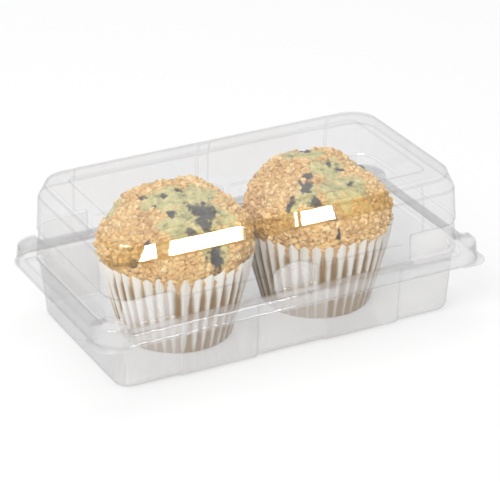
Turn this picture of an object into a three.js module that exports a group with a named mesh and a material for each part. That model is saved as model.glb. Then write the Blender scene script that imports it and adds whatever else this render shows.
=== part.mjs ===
// Clear hinged box holding two muffins in pleated paper liners. Millimetres, +Z up, +X along the length.
// The box is one thin formed sheet: a deep tray and a domed lid that fold together at the back rim (+Y).
// The origin is on the table, under the middle of the box.

import * as THREE from "three";

// The rim, over the lips of the closed box.
const RIM_LENGTH = 200;
const RIM_DEPTH = 110.4;
const RIM_CORNER = 11;
const LIP_HEIGHT = 27.7;
const LIP_WIDTH = 0.7;

// The lips reach out at the two front corners as pull tabs, and along the back as the fold of the hinge.
const TAB_REACH = 1.2;
const TAB_CORNER = 7;

// The sheet, and the space between the nested flanges.
const SHEET = 0.4;
const NEST_GAP = 0.3;

// The flange: a skirt, a flat ledge and four raised locking blocks at the corners.
const SKIRT_HEIGHT = 5.6;
const SKIRT_DRAFT = 0.6;
const EDGE_ROUND = 0.5;
const LEDGE_WIDTH = 5.3;
const BLOCK_RISE = 3.2;
const BLOCK_FROM_END = 14;
const BLOCK_FROM_SIDE = 16.2;
const BLOCK_SLOPE = 1.3;

// The lid above its ledge.
const LID_HEIGHT = 72.3;
const LID_CORNER = 12;
const LID_SIDE_DRAFT = 0.8;
const LID_END_DRAFT = 1.9;
const SHOULDER_HEIGHT = 7.8;
const SHOULDER_DRAFT = 2.2;
const SHOULDER_CORNER = 14;
const CROWN_ROUND = 1.1;
const PANEL_LENGTH = 154;
const PANEL_DEPTH = 69.8;
const PANEL_CORNER = 4.4;
const PANEL_RECESS = 0.7;
const PANEL_SLOPE = 0.6;
const ARCH_FROM = 11;
const ARCH_TO = 61.5;
const ARCH_HEIGHT = 12.6;
const ARCH_DROP = 3.4;
const ARCH_RECESS = 0.8;
const ARCH_STEP = 0.9;

// The tray below its ledge.
const FOOT_LENGTH = 178.8;
const FOOT_DEPTH = 92.4;
const FOOT_CORNER = 10;
const FOOT_ROUND = 3.4;
const WINDOW_FROM = 18;
const WINDOW_TO = 57;
const PILLAR_RECESS = 1.2;
const PILLAR_MARGIN = 2.2;

// Where the lid's long walls and shoulder stand proud, as distances from the middle.
const PANEL_FROM = 3;
const PANEL_TO = 68;
const PANEL_PROUD = 0.6;
const STEP_HALF = 0.6;

// The muffins and their paper liners.
const MUFFIN_PITCH = 75;
const PLEATS = 36;
const PAPER = 0.35;
const LINER_BASE_RADIUS = 26.4;
const LINER_RIM_RADIUS = 36;
const LINER_HEIGHT = 38.2;
const PLEAT_DEPTH_BASE = 0.3;
const PLEAT_DEPTH_RIM = 1;
const RIM_ZIGZAG = 0.7;
const SEAT_GAP = 0.3;
const DOME_RADIUS = 37.1;
const DOME_WIDEST = 8.3;
const DOME_LIFT = 0.9;
const DOME_SHAPE = 2.3;
const DOME_LEAN_X = 2;
const DOME_LEAN_Y = 6.5;
const MUFFIN_SIDES = 48;
const DOME_RINGS = 9;

// How finely the outlines are divided, and how close the last stations stand where a wall's corner begins.
const CORNER_STEPS = 7;
const CORNER_CROWDING = 0.2;
const FOOT_SHARE = 1 - Math.SQRT1_2;
const ROOF_POINT = new THREE.Vector2(0.31, 0.17);

const halfLength = RIM_LENGTH / 2;
const halfDepth = RIM_DEPTH / 2;
const blockX = halfLength - BLOCK_FROM_END;
const blockY = halfDepth - BLOCK_FROM_SIDE;
const wallFoot = LIP_WIDTH + SKIRT_DRAFT + EDGE_ROUND + LEDGE_WIDTH + EDGE_ROUND;

// The tray's ledge top, and the lid's ledge top one sheet and one gap above it.
const trayLedge = LIP_HEIGHT + SKIRT_HEIGHT;
const lidLedge = trayLedge + NEST_GAP + SHEET;
const lidLip = LIP_HEIGHT + NEST_GAP;

const plastic = (name) =>
  new THREE.MeshStandardMaterial({
    name,
    color: 0xe9edef,
    roughness: 0.08,
    metalness: 0,
    transparent: true,
    opacity: 0.3,
  });
const paper = new THREE.MeshStandardMaterial({ name: "paper", color: 0xe6d8c6, roughness: 0.8 });
const cake = new THREE.MeshStandardMaterial({ name: "cake", color: 0xc79a5b, roughness: 0.9 });

// Stations along one quarter of an outline, as distances from the middle of a long side and of an end.
// Each step in a wall lies between two of them, and the last ones bound the locking block.
// The tray's blocks are smaller than the lid's by one sheet and one gap, so that they nest.
function stations(steps, blockInset) {
  const lastX = blockX + blockInset;
  const lastY = blockY + blockInset;
  const pairs = steps.flatMap((x) => [x - STEP_HALF, x + STEP_HALF]);
  const along = [0, ...pairs, lastX - BLOCK_SLOPE, lastX].sort((p, q) => p - q);
  const across = [lastY, lastY - BLOCK_SLOPE, lastY / 2, 0];
  return { along, across, lastX, lastY };
}
const lidStations = stations([PANEL_FROM, ARCH_FROM, ARCH_TO, PANEL_TO], 0);
const trayStations = stations([WINDOW_FROM, WINDOW_TO], SHEET + NEST_GAP);

// A quarter of a rounded rectangle, walking from (0, b) to (a, 0): each point with its outward direction,
// the side that it is on and its station.
// On the flange a station keeps its distance, so the blocks' ends are square to the rim. On a wall, those
// that meet the corner at the wall's foot keep their angle there, and the others keep their distance.
function quarter({ along, across, lastX, lastY }, a, b, r, wall) {
  const flatX = a - r;
  const flatY = b - r;
  const footFlatX = halfLength - wallFoot - LID_CORNER;
  const footFlatY = halfDepth - wallFoot - LID_CORNER;
  const follow = (s, flat, footFlat) => {
    if (!wall) return s;
    const past = s - footFlat;
    return past > 0 ? flat + (r * past) / LID_CORNER : Math.min(s, flat + past * CORNER_CROWDING);
  };
  const atX = (s) => follow(s, flatX, footFlatX);
  const atY = (s) => follow(s, flatY, footFlatY);
  const angle = (s, flat) => Math.asin(THREE.MathUtils.clamp((s - flat) / r, 0, 1));
  const startAngle = angle(atX(lastX), flatX);
  const startRun = Math.max(0, flatX - atX(lastX));
  const endRun = Math.max(0, flatY - atY(lastY));
  const arc = r * (Math.PI / 2 - startAngle - angle(atY(lastY), flatY));
  const points = along.map((s) => {
    const turned = angle(atX(s), flatX);
    const y = flatY + r * Math.cos(turned);
    return { x: atX(s), y, outX: Math.sin(turned), outY: Math.cos(turned), side: "long", s };
  });
  for (let i = 1; i < CORNER_STEPS; i += 1) {
    const walked = ((startRun + arc + endRun) * i) / CORNER_STEPS;
    const turned = startAngle + THREE.MathUtils.clamp(walked - startRun, 0, arc) / r;
    const x = flatX + r * Math.sin(turned) - Math.max(0, startRun - walked);
    const y = flatY + r * Math.cos(turned) - Math.max(0, walked - startRun - arc);
    points.push({ x, y, outX: Math.sin(turned), outY: Math.cos(turned), side: "corner", s: 0 });
  }
  across.forEach((s) => {
    const turned = angle(atY(s), flatY);
    const x = flatX + r * Math.cos(turned);
    points.push({ x, y: atY(s), outX: Math.cos(turned), outY: Math.sin(turned), side: "short", s });
  });
  return points;
}

// A whole outline, counter-clockwise from above. Its shape function may move each point outwards and up.
function outline({ at, a, b, z, corner, frontCorner = corner, wall = false, shape = () => ({}) }) {
  const back = quarter(at, a, b, corner, wall);
  const front = quarter(at, a, b, frontCorner, wall);
  const ring = [];
  const place = (p, signX, signY) => {
    const { out = 0, up = 0 } = shape(p.side, p.s, signY);
    const x = signX * (p.x + out * p.outX);
    const y = signY * (p.y + out * p.outY);
    ring.push(new THREE.Vector3(x, y, z + up));
  };
  [...back].reverse().forEach((p) => place(p, 1, 1));
  back.slice(1).forEach((p) => place(p, -1, 1));
  [...front].reverse().slice(1).forEach((p) => place(p, -1, -1));
  front.slice(1, -1).forEach((p) => place(p, 1, -1));
  return ring;
}

// A closed body through rings of equal count, with a fan over the first and the last ring.
function loft(rings, first, last) {
  const count = rings[0].length;
  const positions = rings.flat().flatMap((p) => [p.x, p.y, p.z]);
  positions.push(first.x, first.y, first.z, last.x, last.y, last.z);
  const firstAt = rings.length * count;
  const lastAt = firstAt + 1;
  const faces = [];
  for (let k = 0; k + 1 < rings.length; k += 1) {
    for (let i = 0; i < count; i += 1) {
      const j = (i + 1) % count;
      const [p, q, s, t] = [k * count + i, k * count + j, (k + 1) * count + i, (k + 1) * count + j];
      faces.push(p, q, t, p, t, s);
    }
  }
  const top = (rings.length - 1) * count;
  for (let i = 0; i < count; i += 1) {
    const j = (i + 1) % count;
    faces.push(firstAt, j, i, lastAt, top + i, top + j);
  }
  const geometry = new THREE.BufferGeometry();
  geometry.setAttribute("position", new THREE.Float32BufferAttribute(positions, 3));
  geometry.setIndex(faces);
  return geometry;
}

const roofPoint = (z) => new THREE.Vector3(ROOF_POINT.x, ROOF_POINT.y, z);
const between = (side, s, from, to) => side === "long" && s > from && s < to;

// The ledge and what stands on it rises at the locking blocks.
function raised(side, s) {
  const onBlock = side === "corner" || (side === "long" ? s >= blockX : s >= blockY);
  return onBlock ? BLOCK_RISE : 0;
}

// A ring set in from the rim by the same distance all round.
function rimRing(at, inset, z, options = {}) {
  const a = halfLength - inset;
  const b = halfDepth - inset;
  return outline({ at, a, b, z, corner: RIM_CORNER - inset / 4, ...options });
}

// A lip's outer edge, with its tabs and the hinge's fold.
function lipEdge(side, s, signY) {
  const atFront = side === "corner" || s >= (side === "long" ? blockX : blockY);
  const atBack = side === "long" && s < blockX - BLOCK_SLOPE;
  return { out: (signY < 0 ? atFront : atBack) ? TAB_REACH : 0 };
}
const lip = { frontCorner: TAB_CORNER, shape: lipEdge };
const ledgeShape = (side, s) => ({ up: raised(side, s) });

// The lid's lower wall: proud windows in front of the muffins, and arched recesses between and beside them.
function archTop(side, s) {
  if (side === "long" && s < ARCH_FROM) {
    return -ARCH_DROP * (s / ARCH_FROM) ** 2;
  }
  return between(side, s, ARCH_FROM, ARCH_TO) ? -ARCH_DROP : 0;
}

const lowerWall = (rise) => (side, s) => ({
  out: between(side, s, ARCH_FROM, ARCH_TO) ? PANEL_PROUD : -ARCH_RECESS,
  up: rise(side, s),
});
const upperWall = (rise) => (side, s) => ({
  out: between(side, s, PANEL_FROM, PANEL_TO) ? PANEL_PROUD : 0,
  up: rise(side, s),
});
const level = () => 0;

function makeLid() {
  const at = lidStations;
  const skirtTop = LIP_WIDTH + SKIRT_DRAFT;
  const ledgeFrom = skirtTop + EDGE_ROUND;
  const ledgeTo = wallFoot - EDGE_ROUND;
  const shoulderTop = LID_HEIGHT - CROWN_ROUND;
  const shoulderFoot = shoulderTop - SHOULDER_HEIGHT;
  const archZ = lidLedge + ARCH_HEIGHT;
  const bend = SHEET / 2;
  // The drafted wall, the shoulder and the roof's edge, all set in from the wall's foot.
  const wall = (z, inset, corner, shape) => {
    const share = THREE.MathUtils.clamp((z - lidLedge) / (shoulderFoot - lidLedge), 0, 1);
    return outline({
      at,
      a: halfLength - wallFoot - LID_END_DRAFT * share - inset,
      b: halfDepth - wallFoot - LID_SIDE_DRAFT * share - inset,
      z,
      corner,
      wall: true,
      shape,
    });
  };
  const panelRing = (grow, z) =>
    outline({
      at,
      a: PANEL_LENGTH / 2 + grow,
      b: PANEL_DEPTH / 2 + grow,
      z,
      corner: PANEL_CORNER + grow,
      wall: true,
    });
  const footRing = (inset, z) =>
    rimRing(at, wallFoot + inset, z, { corner: LID_CORNER - inset, shape: lowerWall(raised) });
  const ledge = (inset, z) => rimRing(at, inset, z, { shape: ledgeShape });
  const panelZ = LID_HEIGHT - PANEL_RECESS;
  const roofInset = SHOULDER_DRAFT + CROWN_ROUND;
  const outside = [
    rimRing(at, 0, lidLip, lip),
    rimRing(at, 0, lidLip + SHEET, lip),
    rimRing(at, LIP_WIDTH, lidLip + SHEET),
    ledge(skirtTop, lidLedge - EDGE_ROUND),
    ledge(ledgeFrom, lidLedge),
    ledge(ledgeTo, lidLedge),
    footRing(0, lidLedge + EDGE_ROUND),
    wall(archZ, 0, LID_CORNER, lowerWall(archTop)),
    wall(archZ + ARCH_STEP, 0, LID_CORNER, upperWall(archTop)),
    wall(shoulderFoot, 0, LID_CORNER, upperWall(level)),
    wall(shoulderTop, SHOULDER_DRAFT, SHOULDER_CORNER, upperWall(level)),
    wall(LID_HEIGHT, roofInset, SHOULDER_CORNER - CROWN_ROUND),
    panelRing(0, LID_HEIGHT),
    panelRing(-PANEL_SLOPE, panelZ),
  ];
  const inside = [
    panelRing(-PANEL_SLOPE + SHEET, panelZ - SHEET),
    panelRing(SHEET, LID_HEIGHT - SHEET),
    wall(LID_HEIGHT - SHEET, roofInset + bend, SHOULDER_CORNER - CROWN_ROUND - bend),
    wall(shoulderTop - bend, SHOULDER_DRAFT + SHEET, SHOULDER_CORNER - SHEET, upperWall(level)),
    wall(shoulderFoot, SHEET, LID_CORNER - SHEET, upperWall(level)),
    wall(archZ + ARCH_STEP, SHEET, LID_CORNER - SHEET, upperWall(archTop)),
    wall(archZ, SHEET, LID_CORNER - SHEET, lowerWall(archTop)),
    footRing(SHEET, lidLedge + EDGE_ROUND - bend),
    ledge(ledgeTo + bend, lidLedge - SHEET),
    ledge(ledgeFrom + bend, lidLedge - SHEET),
    ledge(skirtTop + SHEET, lidLedge - SHEET - EDGE_ROUND),
    rimRing(at, LIP_WIDTH + SHEET, lidLip),
  ];
  const geometry = loft([...inside, ...outside], roofPoint(panelZ - SHEET), roofPoint(panelZ));
  return new THREE.Mesh(geometry, plastic("lid_plastic"));
}

// The tray's wall stands back between and beside the muffins.
const trayWall = (side, s) => ({
  out: between(side, s, WINDOW_FROM, WINDOW_TO) ? 0 : -PILLAR_RECESS,
});

function makeTray() {
  const at = trayStations;
  const skirtFoot = LIP_WIDTH + SHEET + NEST_GAP;
  const skirtTop = skirtFoot + SKIRT_DRAFT;
  const ledgeFrom = skirtTop + EDGE_ROUND;
  const ledgeTo = wallFoot - EDGE_ROUND;
  const wallTop = wallFoot;
  const bend = SHEET / 2;
  const topZ = trayLedge - EDGE_ROUND - SHEET;
  const reliefTop = topZ - PILLAR_MARGIN;
  // The drafted wall from the ledge down to the foot's rounding, set in by one sheet on its inner side.
  const wall = (z, inset, shape) => {
    const share = (z - FOOT_ROUND) / (topZ - FOOT_ROUND);
    const { lerp } = THREE.MathUtils;
    return outline({
      at,
      a: lerp(FOOT_LENGTH / 2, halfLength - wallTop, share) - inset,
      b: lerp(FOOT_DEPTH / 2, halfDepth - wallTop, share) - inset,
      z,
      corner: lerp(FOOT_CORNER, LID_CORNER, share) - inset,
      wall: true,
      shape,
    });
  };
  const floorRing = (inset, z) =>
    outline({
      at,
      a: FOOT_LENGTH / 2 - inset,
      b: FOOT_DEPTH / 2 - inset,
      z,
      corner: FOOT_CORNER - inset,
      wall: true,
      shape: trayWall,
    });
  const ledge = (inset, z) => rimRing(at, inset, z, { shape: ledgeShape });
  const shoulderZ = reliefTop + PILLAR_RECESS;
  const under = [
    floorRing(FOOT_ROUND, 0),
    floorRing(FOOT_ROUND * FOOT_SHARE, FOOT_ROUND * FOOT_SHARE),
    wall(FOOT_ROUND, 0, trayWall),
    wall(reliefTop, 0, trayWall),
    wall(shoulderZ, 0),
    rimRing(at, wallTop, topZ, { corner: LID_CORNER, shape: ledgeShape }),
    ledge(ledgeTo - bend, trayLedge - SHEET),
    ledge(ledgeFrom + bend, trayLedge - SHEET),
    ledge(skirtTop + SHEET, trayLedge - SHEET - EDGE_ROUND),
    rimRing(at, skirtFoot + SHEET, LIP_HEIGHT - SHEET),
    rimRing(at, 0, LIP_HEIGHT - SHEET, lip),
  ];
  const over = [
    rimRing(at, 0, LIP_HEIGHT, lip),
    rimRing(at, skirtFoot, LIP_HEIGHT),
    ledge(skirtTop, trayLedge - EDGE_ROUND),
    ledge(ledgeFrom, trayLedge),
    ledge(ledgeTo, trayLedge),
    rimRing(at, wallTop + SHEET, topZ + bend, { corner: LID_CORNER - SHEET, shape: ledgeShape }),
    wall(shoulderZ, SHEET),
    wall(reliefTop, SHEET, trayWall),
    wall(FOOT_ROUND, SHEET, trayWall),
    floorRing(FOOT_ROUND, SHEET),
  ];
  const geometry = loft([...under, ...over], roofPoint(0), roofPoint(SHEET));
  return new THREE.Mesh(geometry, plastic("tray_plastic"));
}

const linerBottom = SHEET + SEAT_GAP;
const linerTop = linerBottom + LINER_HEIGHT;

// The liner's mean radius and pleat depth at a share of its height.
const linerRadius = (share) => THREE.MathUtils.lerp(LINER_BASE_RADIUS, LINER_RIM_RADIUS, share);
const pleatDepth = (share) => THREE.MathUtils.lerp(PLEAT_DEPTH_BASE, PLEAT_DEPTH_RIM, share);

function circleRing(count, radius, z) {
  return Array.from({ length: count }, (_, i) => {
    const angle = (2 * Math.PI * i) / count;
    return new THREE.Vector3(radius(i) * Math.cos(angle), radius(i) * Math.sin(angle), z(i));
  });
}

function makeLiner() {
  const sign = (i) => (i % 2 === 0 ? 1 : -1);
  const ring = (share, inset, z, zigzag) =>
    circleRing(
      2 * PLEATS,
      (i) => linerRadius(share) + sign(i) * pleatDepth(share) - inset,
      (i) => z + sign(i) * zigzag,
    );
  const rings = [
    ring(0, 0, linerBottom, 0),
    ring(0.5, 0, linerBottom + LINER_HEIGHT / 2, 0),
    ring(1, 0, linerTop, RIM_ZIGZAG),
    ring(1, PAPER, linerTop, RIM_ZIGZAG),
    ring(0.5, PAPER, linerBottom + LINER_HEIGHT / 2, 0),
    ring(0, PAPER, linerBottom + PAPER, 0),
  ];
  const middle = (z) => new THREE.Vector3(0, 0, z);
  return loft(rings, middle(linerBottom), middle(linerBottom + PAPER));
}

function makeMuffin() {
  const clear = (share) => linerRadius(share) - pleatDepth(share) - PAPER - SEAT_GAP;
  const base = linerBottom + PAPER + SEAT_GAP;
  const domeFrom = linerTop + RIM_ZIGZAG + SEAT_GAP;
  const widest = linerTop + DOME_WIDEST;
  const top = LID_HEIGHT - PANEL_RECESS - SHEET - DOME_LIFT;
  const still = (z) => () => z;
  const rings = [
    circleRing(MUFFIN_SIDES, still(clear(0)), still(base)),
    circleRing(MUFFIN_SIDES, still(clear(1)), still(linerTop - RIM_ZIGZAG)),
    circleRing(MUFFIN_SIDES, still((clear(1) + DOME_RADIUS) / 2), still(domeFrom + RIM_ZIGZAG)),
    circleRing(MUFFIN_SIDES, still(DOME_RADIUS), still(widest)),
  ];
  // The dome is a flattened cap, steep at its side and nearly level on top, that rose a little to the back.
  for (let k = 1; k < DOME_RINGS; k += 1) {
    const angle = ((Math.PI / 2) * k) / DOME_RINGS;
    const radius = DOME_RADIUS * Math.cos(angle) ** (2 / DOME_SHAPE);
    const rise = Math.sin(angle) ** (2 / DOME_SHAPE);
    const share = rise * (1 - radius / DOME_RADIUS);
    const lean = new THREE.Vector3(DOME_LEAN_X * share, DOME_LEAN_Y * share, 0);
    const ring = circleRing(MUFFIN_SIDES, still(radius), still(widest + (top - widest) * rise));
    rings.push(ring.map((p) => p.add(lean)));
  }
  return loft(rings, new THREE.Vector3(0, 0, base), new THREE.Vector3(DOME_LEAN_X, DOME_LEAN_Y, top));
}

const group = new THREE.Group();

const tray = makeTray();
tray.name = "tray";
group.add(tray);

const lid = makeLid();
lid.name = "lid";
group.add(lid);

[
  ["left", -1],
  ["right", 1],
].forEach(([side, sign]) => {
  const cup = new THREE.Group();
  cup.position.x = (sign * MUFFIN_PITCH) / 2;
  const liner = new THREE.Mesh(makeLiner(), paper);
  liner.name = `liner_${side}`;
  const muffin = new THREE.Mesh(makeMuffin(), cake);
  muffin.name = `muffin_${side}`;
  cup.add(liner, muffin);
  group.add(cup);
});

export default group;
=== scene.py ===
"""Looks of a clear hinged box that holds two crumb-topped muffins in pleated paper cups.

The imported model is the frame. The shells, the paper cups and the muffins are modelled here at the same places
as its solids, and each takes a procedural material. Sizes are in millimetres, apart from the studio's and the
materials', and MM makes them metres.
"""

import logging
import math
import random
from dataclasses import dataclass
from enum import Enum
from typing import Callable

import bpy
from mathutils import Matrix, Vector, noise
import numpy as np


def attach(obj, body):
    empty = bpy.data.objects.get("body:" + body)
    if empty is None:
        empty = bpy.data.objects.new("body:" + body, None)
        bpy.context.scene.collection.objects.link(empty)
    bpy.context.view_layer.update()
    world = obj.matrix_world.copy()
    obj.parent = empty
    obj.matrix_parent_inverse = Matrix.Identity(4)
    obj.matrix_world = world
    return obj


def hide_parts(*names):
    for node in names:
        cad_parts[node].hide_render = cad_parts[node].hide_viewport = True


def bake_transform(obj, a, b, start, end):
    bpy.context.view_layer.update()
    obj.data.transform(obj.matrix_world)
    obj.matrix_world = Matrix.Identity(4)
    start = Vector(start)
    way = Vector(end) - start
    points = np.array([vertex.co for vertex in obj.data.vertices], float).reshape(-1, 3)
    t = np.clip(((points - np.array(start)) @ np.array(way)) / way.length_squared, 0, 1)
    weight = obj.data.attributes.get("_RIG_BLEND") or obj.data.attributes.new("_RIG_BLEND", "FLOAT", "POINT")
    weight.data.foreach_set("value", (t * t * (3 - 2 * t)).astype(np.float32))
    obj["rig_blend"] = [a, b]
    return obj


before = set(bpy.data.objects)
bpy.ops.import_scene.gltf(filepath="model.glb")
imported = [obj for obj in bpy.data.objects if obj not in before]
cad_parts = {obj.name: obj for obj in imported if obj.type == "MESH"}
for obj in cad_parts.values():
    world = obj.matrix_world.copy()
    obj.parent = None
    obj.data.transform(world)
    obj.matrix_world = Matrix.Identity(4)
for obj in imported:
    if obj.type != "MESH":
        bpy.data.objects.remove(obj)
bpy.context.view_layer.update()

LOG = logging.getLogger("muffin_box")
MM = 0.001
TINY = 1e-6
KEYS_PER_METRE = 1e6

# Half of the stretch, in millimetres, over which a long wall steps in or out.
STEP_HALF = 0.5
# Where an end has its inner stations, as shares of the way from its middle to its last station.
END_SHARES = (0.66, 0.33, 0.0)
# How much of their spacing stations keep where a wall's straight is shorter than at its foot.
BUNCHING = 0.2
# The width in millimetres of a formed bend, and the angle in degrees above which an edge is one.
BEND_WIDTH = 0.32
SHARPEST_UNBENT = 20
# The angle in degrees above which the edge of a shell stays sharp.
SHELL_SHARP = 40

Colour = tuple[float, float, float]
Piece = bpy.types.Object
Material = bpy.types.Material
Socket = bpy.types.NodeSocket


class Side(Enum):
    """Which stretch of a rounded rectangle a point of an outline is on."""

    LONG = "long"
    CORNER = "corner"
    SHORT = "short"


class Body(Enum):
    """The rigid bodies that pieces ride on."""

    TRAY = "tray"
    LID = "lid"


@dataclass(frozen=True)
class RimPoint:
    """A point of an outline in millimetres, with its outward direction and its station from the middle."""

    x: float
    y: float
    out_x: float
    out_y: float
    side: Side
    station: float


Shape = Callable[[RimPoint], tuple[float, float]]


def unshaped(_point: RimPoint) -> tuple[float, float]:
    """Returns no move outwards and no move up."""
    return 0.0, 0.0


@dataclass(frozen=True)
class Rim:
    """Sizes of the rim and flange that the tray and the lid share, in millimetres."""

    half_length: float = 100.0
    half_depth: float = 55.2
    corner: float = 11.0
    tab_corner: float = 7.0
    tab_reach: float = 1.2
    lip_height: float = 27.7
    lip_width: float = 0.7
    sheet: float = 0.4
    gap: float = 0.3
    skirt_height: float = 5.6
    skirt_draft: float = 0.6
    edge_round: float = 0.5
    ledge_width: float = 5.3
    wall_corner: float = 12.0
    block_rise: float = 3.2
    block_x: float = 86.0
    block_y: float = 39.0
    block_slope: float = 1.3
    corner_fall: float = 0.25

    @property
    def foot(self) -> float:
        """Returns how far the wall's foot is set in from the rim."""
        return self.lip_width + self.skirt_draft + 2 * self.edge_round + self.ledge_width

    @property
    def tray_ledge(self) -> float:
        """Returns the height of the tray's ledge."""
        return self.lip_height + self.skirt_height

    @property
    def lid_ledge(self) -> float:
        """Returns the height of the lid's ledge."""
        return self.tray_ledge + self.gap + self.sheet

    def on_block(self, p: RimPoint, inset: float = 0.0) -> bool:
        """Returns whether a point lies on a corner's locking block, which begins later by an inset."""
        limit = (self.block_x if p.side is Side.LONG else self.block_y) + inset
        return p.side is Side.CORNER or p.station >= limit - TINY

    def raised(self, p: RimPoint, inset: float = 0.0) -> float:
        """Returns how far a ledge stands up at a point, where its blocks begin later by an inset."""
        return self.block_rise if self.on_block(p, inset) else 0.0

    def lip_shape(self, p: RimPoint) -> tuple[float, float]:
        """Returns how far a lip's edge reaches out, which is at the front corners and along the hinge.

        Args:
            p: The point of the lip's outline.

        Returns:
            The move outwards and the move up, which is none.
        """
        reaches = self.on_block(p)
        if p.y >= 0:
            reaches = p.side is Side.LONG and p.station < self.block_x - self.block_slope
        return (self.tab_reach if reaches else 0.0), 0.0


@dataclass(frozen=True)
class Stations:
    """Where an outline has its points, as distances from the middle of a long side and of an end."""

    along: tuple[float, ...]
    across: tuple[float, ...]

    @staticmethod
    def with_steps(rim: Rim, steps: tuple[float, ...], block_inset: float, spacing: float) -> "Stations":
        """Returns stations with a close pair at each step and the rest spread evenly.

        Args:
            rim: The shared rim sizes.
            steps: Distances from the middle at which the long wall steps in or out.
            block_inset: How much later the corner block begins than the lid's.
            spacing: The widest space between stations that have no step.

        Returns:
            The stations of a quarter outline.
        """
        last_x = rim.block_x + block_inset
        last_y = rim.block_y + block_inset
        fixed = [0.0, last_x - rim.block_slope, last_x]
        for step in steps:
            fixed += [step - STEP_HALF, step + STEP_HALF]
        fixed.sort()
        along = [fixed[0]]
        for target in fixed[1:]:
            start = along[-1]
            count = max(1, math.ceil((target - start) / spacing))
            along += [start + (target - start) * k / count for k in range(1, count + 1)]
        across = [last_y, last_y - rim.block_slope]
        across += [last_y * share for share in END_SHARES]
        return Stations(tuple(along), tuple(across))


@dataclass(frozen=True)
class Outline:
    """A rounded rectangle at a height, in millimetres."""

    a: float
    b: float
    z: float
    corner: float
    front_corner: float | None = None
    wall: bool = False
    shape: Shape = unshaped

    def quarter(self, rim: Rim, at: Stations, r: float, steps: int) -> list[RimPoint]:
        """Walks a quarter of the outline from (0, b) to (a, 0).

        Args:
            rim: The shared rim sizes.
            at: The stations.
            r: The corner radius of this quarter.
            steps: How many steps the corner takes.

        Returns:
            The quarter's points.
        """
        flat_x, flat_y = self.a - r, self.b - r
        foot_x = rim.half_length - rim.foot - rim.wall_corner
        foot_y = rim.half_depth - rim.foot - rim.wall_corner

        def follow(s: float, flat: float, foot: float) -> float:
            """Finds a station's place, which on a wall keeps its angle round the corner.

            Args:
                s: The station.
                flat: Where this outline's straight ends.
                foot: Where the straight of the wall's foot ends.

            Returns:
                The place along the side.
            """
            if not self.wall:
                return s
            past = s - foot
            return flat + r * past / rim.wall_corner if past > 0 else min(s, flat + BUNCHING * past)

        def angle(s: float, flat: float) -> float:
            """Returns how far round the corner a place is."""
            return math.asin(min(1.0, max(0.0, (s - flat) / r)))

        points = []
        for s in at.along:
            x = follow(s, flat_x, foot_x)
            t = angle(x, flat_x)
            points.append(RimPoint(x, flat_y + r * math.cos(t), math.sin(t), math.cos(t), Side.LONG, s))
        last_x = follow(at.along[-1], flat_x, foot_x)
        last_y = follow(at.across[0], flat_y, foot_y)
        start = angle(last_x, flat_x)
        run_in, run_out = max(0.0, flat_x - last_x), max(0.0, flat_y - last_y)
        arc = r * (math.pi / 2 - start - angle(last_y, flat_y))
        for i in range(1, steps):
            walked = (run_in + arc + run_out) * i / steps
            t = start + min(max(walked - run_in, 0.0), arc) / r
            x = flat_x + r * math.sin(t) - max(0.0, run_in - walked)
            y = flat_y + r * math.cos(t) - max(0.0, walked - run_in - arc)
            points.append(RimPoint(x, y, math.sin(t), math.cos(t), Side.CORNER, 0.0))
        for s in at.across:
            y = follow(s, flat_y, foot_y)
            t = angle(y, flat_y)
            points.append(RimPoint(flat_x + r * math.cos(t), y, math.cos(t), math.sin(t), Side.SHORT, s))
        return points

    def ring(self, rim: Rim, at: Stations, steps: int) -> list[Vector]:
        """Walks the whole outline, counter-clockwise from above.

        Args:
            rim: The shared rim sizes.
            at: The stations.
            steps: How many steps each corner takes.

        Returns:
            The outline's points in metres.
        """
        back = self.quarter(rim, at, self.corner, steps)
        front = self.quarter(rim, at, self.front_corner or self.corner, steps)
        found: list[Vector] = []

        def place(p: RimPoint, sign_x: int, sign_y: int) -> None:
            """Adds a point of a quarter, mirrored to its own quarter.

            Args:
                p: The point on the quarter where x and y are positive.
                sign_x: The own quarter's sign of x.
                sign_y: The own quarter's sign of y.
            """
            own = RimPoint(sign_x * p.x, sign_y * p.y, p.out_x, p.out_y, p.side, p.station)
            out, up = self.shape(own)
            x = sign_x * (p.x + out * p.out_x)
            y = sign_y * (p.y + out * p.out_y)
            found.append(Vector((x, y, self.z + up)) * MM)

        for p in reversed(back):
            place(p, 1, 1)
        for p in back[1:]:
            place(p, -1, 1)
        for p in list(reversed(front))[1:]:
            place(p, -1, -1)
        for p in front[1:-1]:
            place(p, 1, -1)
        return found


def flange(rim: Rim, inset: float, z: float, shape: Shape = unshaped) -> Outline:
    """Returns an outline of a flange.

    Args:
        rim: The shared rim sizes.
        inset: How far it is set in from the rim.
        z: Its height.
        shape: What moves its points.

    Returns:
        The outline, its corners a little tighter than the rim's.
    """
    corner = rim.corner - inset * rim.corner_fall
    return Outline(rim.half_length - inset, rim.half_depth - inset, z, corner, shape=shape)


def lip(rim: Rim, z: float) -> Outline:
    """Returns the outline of a lip's edge at a height."""
    return Outline(rim.half_length, rim.half_depth, z, rim.corner, rim.tab_corner, shape=rim.lip_shape)


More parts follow.
